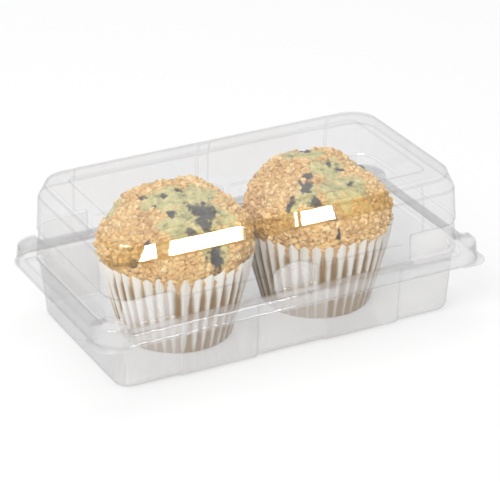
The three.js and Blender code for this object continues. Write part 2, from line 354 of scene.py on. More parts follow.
class Bench:
    """The modelling steps that every piece shares."""

    @staticmethod
    def clear() -> None:
        """Leaves edit mode and deselects everything."""
        if bpy.context.object and bpy.context.object.mode != "OBJECT":
            bpy.ops.object.mode_set(mode="OBJECT")
        bpy.ops.object.select_all(action="DESELECT")

    @staticmethod
    def take(name: str) -> Piece:
        """Names the primitive that was just added.

        Args:
            name: The piece's name.

        Returns:
            The primitive.
        """
        piece = bpy.context.object
        piece.name = name
        piece.data.name = name
        return piece

    @staticmethod
    def pick(piece: Piece) -> None:
        """Makes a piece the only one that is selected, in object mode.

        Args:
            piece: The piece.
        """
        Bench.clear()
        piece.select_set(True)
        bpy.context.view_layer.objects.active = piece

    @staticmethod
    def apply(piece: Piece, kind: str, **settings: object) -> None:
        """Adds a modifier to a piece and applies it.

        Args:
            piece: The piece.
            kind: The modifier's type.
            **settings: The modifier's settings.
        """
        Bench.pick(piece)
        modifier = piece.modifiers.new(kind.title(), kind)
        for key, value in settings.items():
            setattr(modifier, key, value)
        bpy.ops.object.modifier_apply(modifier=modifier.name)

    @staticmethod
    def smooth(piece: Piece, degrees: float) -> None:
        """Shades a piece smooth, apart from edges sharper than an angle."""
        Bench.pick(piece)
        bpy.ops.object.shade_smooth_by_angle(angle=math.radians(degrees))

    @staticmethod
    def dress(piece: Piece, *finishes: Material) -> None:
        """Gives a piece its finishes.

        Args:
            piece: The piece.
            *finishes: The materials, in the order of their slots.
        """
        piece.data.materials.clear()
        for finish in finishes:
            piece.data.materials.append(finish)

    @staticmethod
    def store(piece: Piece, layers: dict[str, list[float]], domain: str = "POINT") -> None:
        """Stores values on a piece, for its finish to read.

        Args:
            piece: The piece.
            layers: The values by the name of their attribute.
            domain: Whether they are of points or of faces.
        """
        for name, values in layers.items():
            piece.data.attributes.new(name, "FLOAT", domain).data.foreach_set("value", values)

    @staticmethod
    def loft(name: str, rings: list[list[Vector]], caps: tuple[bool, bool]) -> Piece:
        """Draws up a surface from a circle by extruding its edge from ring to ring.

        Args:
            name: The piece's name.
            rings: The rings, each with the same number of points.
            caps: Whether the first and the last ring get a face.

        Returns:
            The piece, with its normals facing out.
        """
        Bench.clear()
        bpy.ops.mesh.primitive_circle_add(vertices=len(rings[0]), radius=MM)
        piece = Bench.take(name)
        mesh = piece.data
        for vertex, place in zip(mesh.vertices, rings[0]):
            vertex.co = place
        if caps[0]:
            Bench.fill()
        for before, after in zip(rings, rings[1:]):
            Bench.extrude_ring(piece, before, after)
        if caps[1]:
            Bench.fill()
        bpy.ops.object.mode_set(mode="EDIT")
        bpy.ops.mesh.select_all(action="SELECT")
        bpy.ops.mesh.normals_make_consistent(inside=False)
        bpy.ops.object.mode_set(mode="OBJECT")
        return piece

    @staticmethod
    def fill() -> None:
        """Fills the selected edge loop with a face and leaves only the loop selected."""
        bpy.ops.object.mode_set(mode="EDIT")
        bpy.ops.mesh.edge_face_add()
        bpy.ops.object.mode_set(mode="OBJECT")

    @staticmethod
    def extrude_ring(piece: Piece, before: list[Vector], after: list[Vector]) -> None:
        """Extrudes the selected loop and sets its new points on the next ring.

        Args:
            piece: The piece, in object mode.
            before: The points of the selected loop.
            after: The points of the next ring, in the same order.
        """
        bpy.ops.object.mode_set(mode="EDIT")
        bpy.ops.mesh.select_mode(type="EDGE")
        bpy.ops.mesh.extrude_edges_move(TRANSFORM_OT_translate={"value": (0, 0, 0)})
        bpy.ops.object.mode_set(mode="OBJECT")
        index = {Bench.key(p): i for i, p in enumerate(before)}
        for vertex in piece.data.vertices:
            if vertex.select:
                vertex.co = after[index[Bench.key(vertex.co)]]

    @staticmethod
    def key(p: Vector) -> tuple[int, int, int]:
        """Returns a point as a key, to the nearest micrometre."""
        return tuple(round(c * KEYS_PER_METRE) for c in p)


class Nodes:
    """A material under construction."""

    def __init__(self, name: str) -> None:
        """Starts an empty node material.

        Args:
            name: The material's name.
        """
        self.material = bpy.data.materials.new(name)
        self.material.use_nodes = True
        self.tree = self.material.node_tree
        self.tree.nodes.clear()
        self.output = self.tree.nodes.new("ShaderNodeOutputMaterial")

    def add(self, kind: str, inputs: dict | None = None, **settings: object) -> bpy.types.Node:
        """Adds a node.

        Args:
            kind: The node's type.
            inputs: Its inputs by name or number, as values or as sockets to link.
            **settings: Its properties.

        Returns:
            The node.
        """
        node = self.tree.nodes.new(kind)
        for key, value in settings.items():
            setattr(node, key, value)
        for key, value in (inputs or {}).items():
            if isinstance(value, Socket):
                self.tree.links.new(value, node.inputs[key])
            else:
                node.inputs[key].default_value = value
        return node

    def math(self, operation: str, a: object, b: object = 0.0, clamp: bool = False) -> Socket:
        """Returns the result of a Math node."""
        return self.add("ShaderNodeMath", {0: a, 1: b}, operation=operation, use_clamp=clamp).outputs[0]

    def times(self, value: Socket, factor: float) -> Socket:
        """Returns a value times a factor."""
        return self.math("MULTIPLY", value, factor)

    def place(self) -> Socket:
        """Returns the place on the piece."""
        return self.add("ShaderNodeTexCoord").outputs["Object"]

    def noise(self, scale: float, detail: float = 3.0, rough: float = 0.5) -> Socket:
        """Returns a noise value between 0 and 1."""
        inputs = {"Vector": self.place(), "Scale": scale, "Detail": detail, "Roughness": rough}
        return self.add("ShaderNodeTexNoise", inputs).outputs[0]

    def blend(self, share: object, a: Socket, b: Socket) -> Socket:
        """Returns a mix of two shaders."""
        return self.add("ShaderNodeMixShader", {0: share, 1: a, 2: b}).outputs[0]

    def attribute(self, name: str) -> Socket:
        """Returns a value stored on the piece's points."""
        return self.add("ShaderNodeAttribute", attribute_name=name).outputs["Fac"]

    def ramp(self, value: Socket, stops: tuple[tuple[float, Colour], ...]) -> Socket:
        """Looks a value up in a ramp of colours.

        Args:
            value: The value.
            stops: The ramp's places and their colours.

        Returns:
            The colour.
        """
        node = self.add("ShaderNodeValToRGB", {0: value})
        ramp = node.color_ramp
        while len(ramp.elements) < len(stops):
            ramp.elements.new(0.5)
        for element, (place, colour) in zip(ramp.elements, stops):
            element.position = place
            element.color = (*colour, 1.0)
        return node.outputs[0]

    def step(self, value: object, low: float, high: float) -> Socket:
        """Returns how far a value is from low to high, between 0 and 1."""
        inputs = {0: value, 1: low, 2: high, 3: 0.0, 4: 1.0}
        return self.add("ShaderNodeMapRange", inputs, interpolation_type="SMOOTHSTEP").outputs[0]

    def mix(self, share: object, a: object, b: object) -> Socket:
        """Mixes two colours.

        Args:
            share: The second colour's share, as a number or a socket.
            a: The first colour.
            b: The second colour.

        Returns:
            The mix.
        """
        node = self.add("ShaderNodeMix", data_type="RGBA")
        for key, value in ((0, share), (6, a), (7, b)):
            if isinstance(value, Socket):
                self.tree.links.new(value, node.inputs[key])
            else:
                node.inputs[key].default_value = value if key == 0 else (*value, 1.0)
        return node.outputs[2]

    def bump(self, height: Socket, distance: float, strength: float = 1.0) -> Socket:
        """Returns a bumped normal."""
        inputs = {"Height": height, "Distance": distance, "Strength": strength}
        return self.add("ShaderNodeBump", inputs).outputs[0]

    def finish(self, shader: Socket) -> Material:
        """Links the shader to the output and returns the material."""
        self.tree.links.new(shader, self.output.inputs["Surface"])
        return self.material


@dataclass(frozen=True)
class ClearSheet:
    """Thin clear formed sheet: see-through, greyer where it turns away, with a sharp gloss and a painted
    reflection of the cakes.
    """

    name: str
    facing_tint: Colour = (0.980, 0.980, 0.981)
    turned_tint: Colour = (0.885, 0.885, 0.89)
    # Painted reflection: a warm tint that stands in for the cakes seen through the front shoulder.
    warm_tint: Colour = (0.985, 0.975, 0.94)
    haze: float = 0.015
    veil: float = 0.3
    gloss: float = 0.035
    haze_colour: Colour = (0.74, 0.735, 0.73)
    haze_scale: float = 45.0
    tint_falloff: float = 3.0
    edge_gloss: float = 0.55
    edge_falloff: float = 5.0
    roughness: float = 0.03
    ripple_scale: float = 38.0
    ripple_height: float = 0.0005
    ripple_strength: float = 0.3

    def material(self) -> Material:
        """Builds the sheet's material.

        Returns:
            The material, which reads the piece's "veil" and the share of its painted reflection of the cakes.
        """
        n = Nodes(self.name)
        turned = n.add("ShaderNodeLayerWeight", {"Blend": 0.5}).outputs["Facing"]
        tint = n.mix(n.math("POWER", turned, self.tint_falloff), self.facing_tint, self.turned_tint)
        # Painted reflection: the tint turns warm where the piece's stored share is high, for the cakes seen in
        # the shoulder.
        tint = n.mix(n.attribute("warm"), tint, self.warm_tint)
        clear = n.add("ShaderNodeBsdfTransparent", {"Color": tint}).outputs[0]
        haze = n.add("ShaderNodeBsdfDiffuse", {"Color": (*self.haze_colour, 1.0)}).outputs[0]
        cloud = n.times(n.noise(self.haze_scale), 2 * self.haze)
        cloud = n.math("ADD", cloud, n.times(n.attribute("veil"), self.veil), clamp=True)
        ripple = n.bump(n.noise(self.ripple_scale, 2.0), self.ripple_height, self.ripple_strength)
        gloss = n.add("ShaderNodeBsdfGlossy", {"Roughness": self.roughness, "Normal": ripple}).outputs[0]
        edge = n.times(n.math("POWER", turned, self.edge_falloff), self.edge_gloss)
        share = n.math("ADD", edge, self.gloss, clamp=True)
        return n.finish(n.blend(share, n.blend(cloud, clear, haze), gloss))


@dataclass(frozen=True)
class SheetFinishes:
    """The materials of a clear shell."""

    sheet: Material
    # The bends' material, darkened as painted shade.
    bend: Material


@dataclass(frozen=True)
class BakingPaper:
    """Thin baking paper: matt, letting light through, browned where it lies on the cake, and browner in its
    pleats' valleys, partly as painted shade.
    """

    name: str
    white: Colour = (0.95, 0.93, 0.88)
    browned: Colour = (0.42, 0.26, 0.10)
    blotch_scale: float = 60.0
    blotch_level: float = 0.32
    blotch_strength: float = 0.9
    soak_from: float = 0.40
    soak_to: float = 0.95
    fibre_scale: float = 900.0
    fibre_rough: float = 0.6
    fibre_height: float = 0.0002
    fibre_strength: float = 0.5
    roughness: tuple[float, float] = (0.55, 0.8)
    sheen: float = 0.08
    glow: float = 0.28

    def material(self) -> Material:
        """Builds the paper's material.

        Returns:
            The material, which reads how brown the cup's paper is, partly painted shade.
        """
        n = Nodes(self.name)
        blotch = n.math("SUBTRACT", n.noise(self.blotch_scale, 4.0), self.blotch_level)
        # Browner where the cup's stored value is high, which in the pleats' valleys is partly painted shade.
        soak = n.math("ADD", n.attribute("soak_and_valley_shade"), n.times(blotch, self.blotch_strength))
        colour = n.mix(n.step(soak, self.soak_from, self.soak_to), self.white, self.browned)
        fibre = n.noise(self.fibre_scale, 5.0, self.fibre_rough)
        smooth, rough = self.roughness
        inputs = {
            "Base Color": colour,
            "Roughness": n.add("ShaderNodeMapRange", {0: fibre, 3: smooth, 4: rough}).outputs[0],
            "Normal": n.bump(fibre, self.fibre_height, self.fibre_strength),
            "Sheen Weight": self.sheen,
        }
        paper = n.add("ShaderNodeBsdfPrincipled", inputs).outputs[0]
        glow = n.add("ShaderNodeBsdfTranslucent", {"Color": colour}).outputs[0]
        return n.finish(n.blend(self.glow, paper, glow))


@dataclass(frozen=True)
class MuffinCrust:
    """Baked muffin: golden crumb, pale cake where the crumb is thin, dark berry stains, painted shade in the
    crumb's gaps, painted light on crumb tops and a painted refraction band.
    """

    name: str
    crumb: tuple[tuple[float, Colour], ...] = (
        (0.2, (0.42, 0.22, 0.08)),
        (0.42, (0.68, 0.42, 0.17)),
        (0.6, (0.84, 0.57, 0.26)),
        (0.8, (0.95, 0.76, 0.45)),
    )
    cake: tuple[tuple[float, Colour], ...] = (
        (0.3, (0.13, 0.12, 0.07)),
        (0.42, (0.38, 0.35, 0.17)),
        (0.56, (0.60, 0.54, 0.26)),
        (0.76, (0.80, 0.70, 0.38)),
    )
    berry: tuple[tuple[float, Colour], ...] = ((0.35, (0.010, 0.010, 0.016)), (0.8, (0.07, 0.065, 0.09)))
    # Painted shade: the dark colour put deep between the crumbs and on their undersides.
    painted_gap_shade: Colour = (0.20, 0.09, 0.025)
    # Painted refraction: the golden tint of the band that stands in for the lid's shoulder.
    painted_band_tint: Colour = (0.52, 0.28, 0.02)
    side_colour: Colour = (0.62, 0.39, 0.19)
    granule_scale: float = 430.0
    painted_gap_shade_strength: float = 0.85
    stain_strength: float = 0.93
    painted_band_strength: float = 0.9
    painted_band_share: float = 0.68
    edge_wobble: float = 0.7
    roughness: float = 0.78
    berry_gloss: float = 0.35
    relief: float = 0.0005
    relief_strength: float = 0.7
    granule_relief: float = 1.6
    granule_tone: float = 0.2
    cloud_tone: float = 0.5
    # Painted light on the granules' tops.
    painted_top_light: float = 0.15
    crumb_tone: float = 0.3
    cloud_scale: float = 90.0
    cake_scale: float = 190.0
    cake_rough: float = 0.68
    berry_scale: float = 180.0
    painted_band_scale: float = 110.0
    wobble_scale: float = 260.0
    fine_scale: float = 1300.0
    fine_rough: float = 0.65
    top_edge: tuple[float, float] = (0.62, 0.1)
    bare_edge: tuple[float, float] = (0.38, 0.62)
    berry_edge: tuple[float, float] = (0.34, 0.66)
    painted_gap_shade_edge: tuple[float, float] = (0.55, 0.02)
    painted_band_edge: tuple[float, float] = (0.2, 0.55)
    side_edge: tuple[float, float] = (0.3, 1.0)
    bare_smoothness: float = 0.7
    subsurface: float = 0.06
    subsurface_radius: Colour = (0.6, 0.3, 0.15)
    subsurface_scale: float = 0.004
    specular: float = 0.35

    def material(self) -> Material:
        """Builds the crust's material.

        Returns:
            The material, which reads the muffin's "bare", "berry", "depth", "side", painted refraction band and
            "tone".
        """
        n = Nodes(self.name)
        granules = n.add("ShaderNodeTexVoronoi", {"Vector": n.place(), "Scale": self.granule_scale})
        grain = n.add("ShaderNodeSeparateColor", {0: granules.outputs["Color"]}).outputs[0]
        round_top = n.step(granules.outputs["Distance"], *self.top_edge)
        colour, bare, stain = self.colours(n, grain, round_top)

        fine = n.noise(self.fine_scale, 4.0, self.fine_rough)
        smooth = n.math("MAXIMUM", n.times(bare, self.bare_smoothness), stain)
        crumbly = n.math("SUBTRACT", 1.0, smooth)
        granular = n.times(n.math("MULTIPLY", round_top, crumbly), self.granule_relief)
        inputs = {
            "Base Color": colour,
            "Roughness": n.math("SUBTRACT", self.roughness, n.times(stain, self.berry_gloss)),
            "Normal": n.bump(n.math("ADD", granular, fine), self.relief, self.relief_strength),
            "Subsurface Weight": self.subsurface,
            "Subsurface Radius": self.subsurface_radius,
            "Subsurface Scale": self.subsurface_scale,
            "Specular IOR Level": self.specular,
        }
        return n.finish(n.add("ShaderNodeBsdfPrincipled", inputs).outputs[0])

    def colours(
        self, n: Nodes, grain: Socket, round_top: Socket
    ) -> tuple[Socket, Socket, Socket]:
        """Builds the crust's colour, from the crumb up to the painted refraction band on top.

        Args:
            n: The material under construction.
            grain: Each granule's own shade.
            round_top: How near a point is to the top of its granule.

        Returns:
            The colour, where the cake is bare, and where a berry stains it.
        """
        cloud = n.noise(self.cloud_scale, 5.0)
        tone = n.math("ADD", n.times(grain, self.granule_tone), n.times(cloud, self.cloud_tone))
        # Painted light: each granule is lighter towards its top.
        tone = n.math("ADD", tone, n.times(round_top, self.painted_top_light))
        tone = n.math("ADD", tone, n.times(n.attribute("tone"), self.crumb_tone))
        crumb = n.ramp(tone, self.crumb)
        cake = n.ramp(n.noise(self.cake_scale, 6.0, self.cake_rough), self.cake)

        wobble = n.times(n.math("SUBTRACT", n.noise(self.wobble_scale, 4.0), 0.5), self.edge_wobble)
        bare = n.step(n.math("ADD", n.attribute("bare"), wobble), *self.bare_edge)
        stain = n.step(n.math("ADD", n.attribute("berry"), wobble), *self.berry_edge)
        # Painted shade: darker where the crust lies deep between crumbs and on the crumbs' undersides.
        gap = n.step(n.attribute("depth"), *self.painted_gap_shade_edge)
        # Painted refraction: a golden band over the front of the domes, broken up by noise.
        patchy = n.step(n.noise(self.painted_band_scale), *self.painted_band_edge)
        painted_band_mask = n.math("MULTIPLY", n.attribute("painted_band"), patchy)
        side = n.step(n.attribute("side"), *self.side_edge)

        colour = n.mix(bare, crumb, cake)
        # Painted shade mixed in towards a dark brown.
        colour = n.mix(n.times(gap, self.painted_gap_shade_strength), colour, self.painted_gap_shade)
        dark = n.ramp(n.noise(self.berry_scale, 4.0), self.berry)
        colour = n.mix(n.times(stain, self.stain_strength), colour, dark)
        # Painted refraction: the golden band's tint mixed in.
        painted_band_tint = n.mix(self.painted_band_share, colour, self.painted_band_tint)
        colour = n.mix(n.times(painted_band_mask, self.painted_band_strength), colour, painted_band_tint)
        return n.mix(side, colour, self.side_colour), bare, stain


@dataclass
class ClearLid:
    """The domed lid, with its flange, locking blocks, shoulder and recessed roof panel."""

    rim: Rim
    height: float = 72.3
    side_draft: float = 0.8
    end_draft: float = 1.9
    shoulder_height: float = 7.8
    shoulder_draft: float = 2.2
    shoulder_corner: float = 14.0
    crown_round: float = 1.1
    panel_half_length: float = 77.0
    panel_half_depth: float = 34.9
    panel_corner: float = 4.4
    panel_recess: float = 0.7
    panel_slope: float = 0.6
    arch_from: float = 11.0
    arch_to: float = 61.5
    arch_height: float = 12.6
    arch_drop: float = 3.4
    arch_recess: float = 0.8
    arch_step: float = 0.9
    proud_from: float = 3.0
    proud_to: float = 68.0
    proud: float = 0.6
    bow: float = 0.5
    foot_bend: float = 1.5
    corner_steps: int = 12
    spacing: float = 4.0
    steepest_bend: float = 0.7
    steepest_step: float = 0.97
    panel_margin: float = 1.0
    wall_margin: float = 2.5
    edge_margin: float = 0.2
    back_veil: float = 0.3
    # Where the front shoulder gets its painted reflection of the cakes, in millimetres.
    warm_from_y: float = -25.0
    warm_end_x: float = -70.0
    warm_to_x: float = 54.0
    warm_fade: float = 6.0

    @property
    def shoulder_top(self) -> float:
        """Returns the height of the shoulder's upper bend."""
        return self.height - self.crown_round

    @property
    def shoulder_foot(self) -> float:
        """Returns the height of the shoulder's lower bend."""
        return self.shoulder_top - self.shoulder_height

    def arch(self, p: RimPoint) -> float:
        """Returns the fall of the lower wall's recess, which is arched between its windows.

        Args:
            p: The point of the recess's upper edge.

        Returns:
            How far the edge lies below the recess's top there, as a negative height.
        """
        if p.side is not Side.LONG:
            return 0.0
        if p.station < self.arch_from:
            return -self.arch_drop * (p.station / self.arch_from) ** 2
        return -self.arch_drop if p.station < self.arch_to else 0.0

    def lower(self, p: RimPoint) -> float:
        """Returns how far the lower wall stands out at a point."""
        window = p.side is Side.LONG and self.arch_from < p.station < self.arch_to
        return self.proud if window else -self.arch_recess

    def upper(self, p: RimPoint) -> float:
        """Returns how far the upper wall stands out, which it does in two slightly bowed panels.

        Args:
            p: The point of the wall.

        Returns:
            The move outwards there.
        """
        if p.side is not Side.LONG or not self.proud_from < p.station < self.proud_to:
            return 0.0
        middle = (self.proud_from + self.proud_to) / 2
        share = (p.station - middle) / (self.proud_to - self.proud_from) * 2
        return self.proud + self.bow * (1 - share * share)

    def outlines(self) -> list[Outline]:
        """Lays out the lid's outer surface.

        Returns:
            Its outlines, from the lip up to the roof panel.
        """
        rim = self.rim
        lip_z = rim.lip_height + rim.gap + rim.sheet
        skirt_top = rim.lip_width + rim.skirt_draft
        ledge_from = skirt_top + rim.edge_round
        ledge_to = rim.foot - rim.edge_round
        top, shoulder_foot = self.shoulder_top, self.shoulder_foot
        arch_z = rim.lid_ledge + self.arch_height

        def wall(z: float, inset: float, corner: float, shape: Shape = unshaped) -> Outline:
            """Draws an outline of the drafted wall or of the shoulder above it.

            Args:
                z: Its height.
                inset: How far the shoulder is drawn in there.
                corner: Its corner radius.
                shape: What moves its points.

            Returns:
                The outline.
            """
            share = min(1.0, max(0.0, (z - rim.lid_ledge) / (shoulder_foot - rim.lid_ledge)))
            a = rim.half_length - rim.foot - self.end_draft * share - inset
            b = rim.half_depth - rim.foot - self.side_draft * share - inset
            return Outline(a, b, z, corner, wall=True, shape=shape)

        def panel(grow: float, z: float) -> Outline:
            """Returns an outline of the roof panel."""
            a, b = self.panel_half_length + grow, self.panel_half_depth + grow
            return Outline(a, b, z, self.panel_corner + grow, wall=True)

        ledge: Shape = lambda p: (0.0, rim.raised(p))
        foot: Shape = lambda p: (self.lower(p), rim.raised(p))
        arch_low: Shape = lambda p: (self.lower(p), self.arch(p))
        arch_high: Shape = lambda p: (self.upper(p), self.arch(p))
        upper: Shape = lambda p: (self.upper(p), 0.0)
        corner = rim.wall_corner
        foot_z = rim.lid_ledge + rim.edge_round
        roof_inset = self.shoulder_draft + self.crown_round
        mid_z = (arch_z + shoulder_foot) / 2
        bend_inset = self.shoulder_draft * self.foot_bend / self.shoulder_height
        return [
            lip(rim, lip_z),
            flange(rim, rim.lip_width, lip_z),
            flange(rim, skirt_top, rim.lid_ledge - rim.edge_round, ledge),
            flange(rim, ledge_from, rim.lid_ledge, ledge),
            flange(rim, ledge_to, rim.lid_ledge, ledge),
            Outline(rim.half_length - rim.foot, rim.half_depth - rim.foot, foot_z, corner, shape=foot),
            wall(arch_z, 0, corner, arch_low),
            wall(arch_z + self.arch_step, 0, corner, arch_high),
            wall(mid_z, 0, corner, upper),
            wall(shoulder_foot, 0, corner, upper),
            wall(shoulder_foot + self.foot_bend, bend_inset, corner, upper),
            wall(top - self.foot_bend, self.shoulder_draft - bend_inset, self.shoulder_corner, upper),
            wall(top, self.shoulder_draft, self.shoulder_corner, upper),
            wall(self.height, roof_inset, self.shoulder_corner - self.crown_round),
            panel(0, self.height),
            panel(-self.panel_slope, self.height - self.panel_recess),
        ]

    def build(self, finishes: SheetFinishes) -> Piece:
        """Builds the lid's shell.

        Args:
            finishes: The materials of the sheet and of its bends.

        Returns:
            The shell.
        """
        steps = (self.proud_from, self.arch_from, self.arch_to, self.proud_to)
        at = Stations.with_steps(self.rim, steps, 0.0, self.spacing)
        rings = [o.ring(self.rim, at, self.corner_steps) for o in self.outlines()]
        piece = Bench.loft("lid_shell", rings, (False, True))
        finish_shell(piece, self.rim.sheet, -1.0, finishes, self.crease)
        # Stores on each face the share of the painted reflection of the cakes.
        mark(piece, veil=self.veil, warm=self.warm)
        return piece

    def crease(self, middle: Vector, normal: Vector) -> bool:
        """Tells whether a face is part of the shoulder's bends or of the roof panel's step.

        Args:
            middle: The face's middle in millimetres.
            normal: Its direction.

        Returns:
            Whether it is.
        """
        top, foot = self.shoulder_top, self.shoulder_foot
        at_foot = foot < middle.z < foot + self.foot_bend
        at_top = top - self.foot_bend < middle.z < top and abs(normal.z) < self.steepest_bend
        in_length = abs(middle.x) < self.panel_half_length + self.panel_margin
        in_depth = abs(middle.y) < self.panel_half_depth + self.panel_margin
        on_step = in_length and in_depth and abs(normal.z) < self.steepest_step and middle.z > top
        return at_foot or at_top or on_step

    def veil(self, p: Vector) -> float:
        """Returns how cloudy the sheet is, which is most in the stretched recesses of the lower wall.

        Args:
            p: The place in millimetres.

        Returns:
            The cloudiness there, from 0 to 1.
        """
        low, high = self.rim.lid_ledge, self.rim.lid_ledge + self.arch_height
        inside = abs(p.y) < self.rim.half_depth - self.rim.foot - self.wall_margin
        if inside or not low < p.z < high + self.edge_margin:
            return 0.0
        if self.arch_from - self.edge_margin < abs(p.x) < self.arch_to + self.edge_margin:
            return 0.0
        return 1.0 if p.y < 0 else self.back_veil

    def warm(self, p: Vector) -> float:
        """Returns how much painted reflection of the cakes' colour the front shoulder gets.

        Args:
            p: The place in millimetres.

        Returns:
            The share there, from 0 to 1.
        """
        at_front = p.y < 0.5 - self.panel_half_depth or p.x < self.warm_end_x and p.y < self.warm_from_y
        if not at_front or p.z < self.shoulder_foot - self.edge_margin:
            return 0.0
        return min(1.0, max(0.0, (self.warm_to_x - p.x) / self.warm_fade))


@dataclass
class ClearTray:
    """The deep tray, with its nested flange, locking blocks and stepped walls."""

    rim: Rim
    foot_half_length: float = 89.4
    foot_half_depth: float = 46.2
    foot_corner: float = 10.0
    foot_round: float = 3.4
    window_from: float = 18.0
    window_to: float = 57.0
    pillar_recess: float = 1.2
    pillar_margin: float = 2.2
    corner_steps: int = 12
    spacing: float = 4.0
    foot_turns: tuple[float, ...] = (1.15, 0.78, 0.4, 0.0)
    wall_margin: float = 2.5
    ledge_margin: float = 1.0
    flat_veil: float = 0.12
    window_veil: float = 0.3
    pillar_veil: float = 0.75

    def stepped(self, p: RimPoint) -> float:
        """Returns how far the wall stands back at a point."""
        window = p.side is Side.LONG and self.window_from < p.station < self.window_to
        return 0.0 if window else -self.pillar_recess

    def outlines(self) -> list[Outline]:
        """Lays out the tray's upper surface.

        Returns:
            Its outlines, from the lip down to the floor.
        """
        rim = self.rim
        skirt_foot = rim.lip_width + rim.sheet + rim.gap
        skirt_top = skirt_foot + rim.skirt_draft
        ledge_from = skirt_top + rim.edge_round
        ledge_to = rim.foot - rim.edge_round
        top_z = rim.tray_ledge - rim.edge_round - rim.sheet
        relief = top_z - self.pillar_margin

        def wall(z: float, shape: Shape = unshaped) -> Outline:
            """Draws an outline of the drafted wall.

            Args:
                z: Its height.
                shape: What moves its points.

            Returns:
                The outline.
            """
            share = (z - self.foot_round) / (top_z - self.foot_round)
            a = self.foot_half_length + (rim.half_length - rim.foot - self.foot_half_length) * share
            b = self.foot_half_depth + (rim.half_depth - rim.foot - self.foot_half_depth) * share
            r = self.foot_corner + (rim.wall_corner - self.foot_corner) * share
            inner = rim.sheet
            return Outline(a - inner, b - inner, z, r - inner, wall=True, shape=shape)

        def floor(inset: float, z: float) -> Outline:
            """Returns an outline of the rounding between the wall and the floor."""
            a, b = self.foot_half_length - inset, self.foot_half_depth - inset
            return Outline(a, b, z, self.foot_corner - inset, wall=True, shape=stepped)

        stepped: Shape = lambda p: (self.stepped(p), 0.0)
        ledge: Shape = lambda p: (0.0, rim.raised(p, rim.sheet + rim.gap))
        inner_foot = rim.foot + rim.sheet
        r, sheet = self.foot_round, rim.sheet
        bends = [(r * (1 - math.sin(t)) + sheet, r * (1 - math.cos(t)) + sheet) for t in self.foot_turns]
        return [
            lip(rim, rim.lip_height),
            flange(rim, skirt_foot, rim.lip_height),
            flange(rim, skirt_top, rim.tray_ledge - rim.edge_round, ledge),
            flange(rim, ledge_from, rim.tray_ledge, ledge),
            flange(rim, ledge_to, rim.tray_ledge, ledge),
            Outline(
                rim.half_length - inner_foot,
                rim.half_depth - inner_foot,
                top_z + rim.sheet / 2,
                rim.wall_corner - rim.sheet,
                shape=ledge,
            ),
            wall(relief + self.pillar_recess),
            wall(relief, stepped),
            wall((relief + self.foot_round) / 2, stepped),
            wall(self.foot_round + rim.sheet, stepped),
            *[floor(inset, z) for inset, z in bends],
        ]

    def build(self, finishes: SheetFinishes) -> Piece:
        """Builds the tray's shell.

        Args:
            finishes: The materials of the sheet and of its bends.

        Returns:
            The shell.
        """
        steps = (self.window_from, self.window_to)
        at = Stations.with_steps(self.rim, steps, self.rim.sheet + self.rim.gap, self.spacing)
        rings = [o.ring(self.rim, at, self.corner_steps) for o in self.outlines()]
        piece = Bench.loft("tray_shell", rings, (False, True))
        finish_shell(piece, self.rim.sheet, 1.0, finishes, lambda _middle, _normal: False)
        mark(piece, veil=self.veil, warm=lambda _place: 0.0)
        return piece

    def veil(self, p: Vector) -> float:
        """Returns how cloudy the sheet is, which is most in the pillars beside the long walls' windows.

        Args:
            p: The place in millimetres.

        Returns:
            The cloudiness there, from 0 to 1.
        """
        on_wall = self.foot_round <= p.z <= self.rim.tray_ledge - self.ledge_margin
        if not on_wall or abs(p.y) < self.foot_half_depth - self.wall_margin:
            return self.flat_veil
        return self.window_veil if self.window_from < abs(p.x) < self.window_to else self.pillar_veil


def mark(piece: Piece, **values: Callable[[Vector], float]) -> None:
    """Stores values on each face of a piece.

    Args:
        piece: The piece.
        **values: What gives each attribute's value at a face's middle in millimetres.
    """
    middles = [face.center / MM for face in piece.data.polygons]
    layers = {name: [value(middle) for middle in middles] for name, value in values.items()}
    Bench.store(piece, layers, "FACE")


def finish_shell(
    piece: Piece,
    sheet: float,
    side: float,
    finishes: SheetFinishes,
    crease: Callable[[Vector, Vector], bool],
) -> None:
    """Rounds a shell's bends, gives it its thickness and dresses it.

    Args:
        piece: The shell's one surface.
        sheet: The sheet's thickness in millimetres.
        side: Which side of the surface the thickness grows on.
        finishes: The materials of the sheet and of its bends.
        crease: Says from a face's middle in millimetres and its normal whether it is part of a wide bend.
    """
    Bench.dress(piece, finishes.sheet, finishes.bend)
    # Bevelled bends take the second material, which is darker as painted shade.
    bend = {"width": BEND_WIDTH * MM, "segments": 2, "limit_method": "ANGLE", "material": 1}
    Bench.apply(piece, "BEVEL", angle_limit=math.radians(SHARPEST_UNBENT), **bend)
    Bench.apply(piece, "SOLIDIFY", thickness=sheet * MM, offset=side, use_even_offset=True)
    # Faces of the wide bends take the painted darker material too.
    for face in piece.data.polygons:
        if crease(face.center / MM, face.normal):
            face.material_index = 1
    Bench.smooth(piece, SHELL_SHARP)
    Bench.apply(piece, "WEIGHTED_NORMAL", keep_sharp=True)


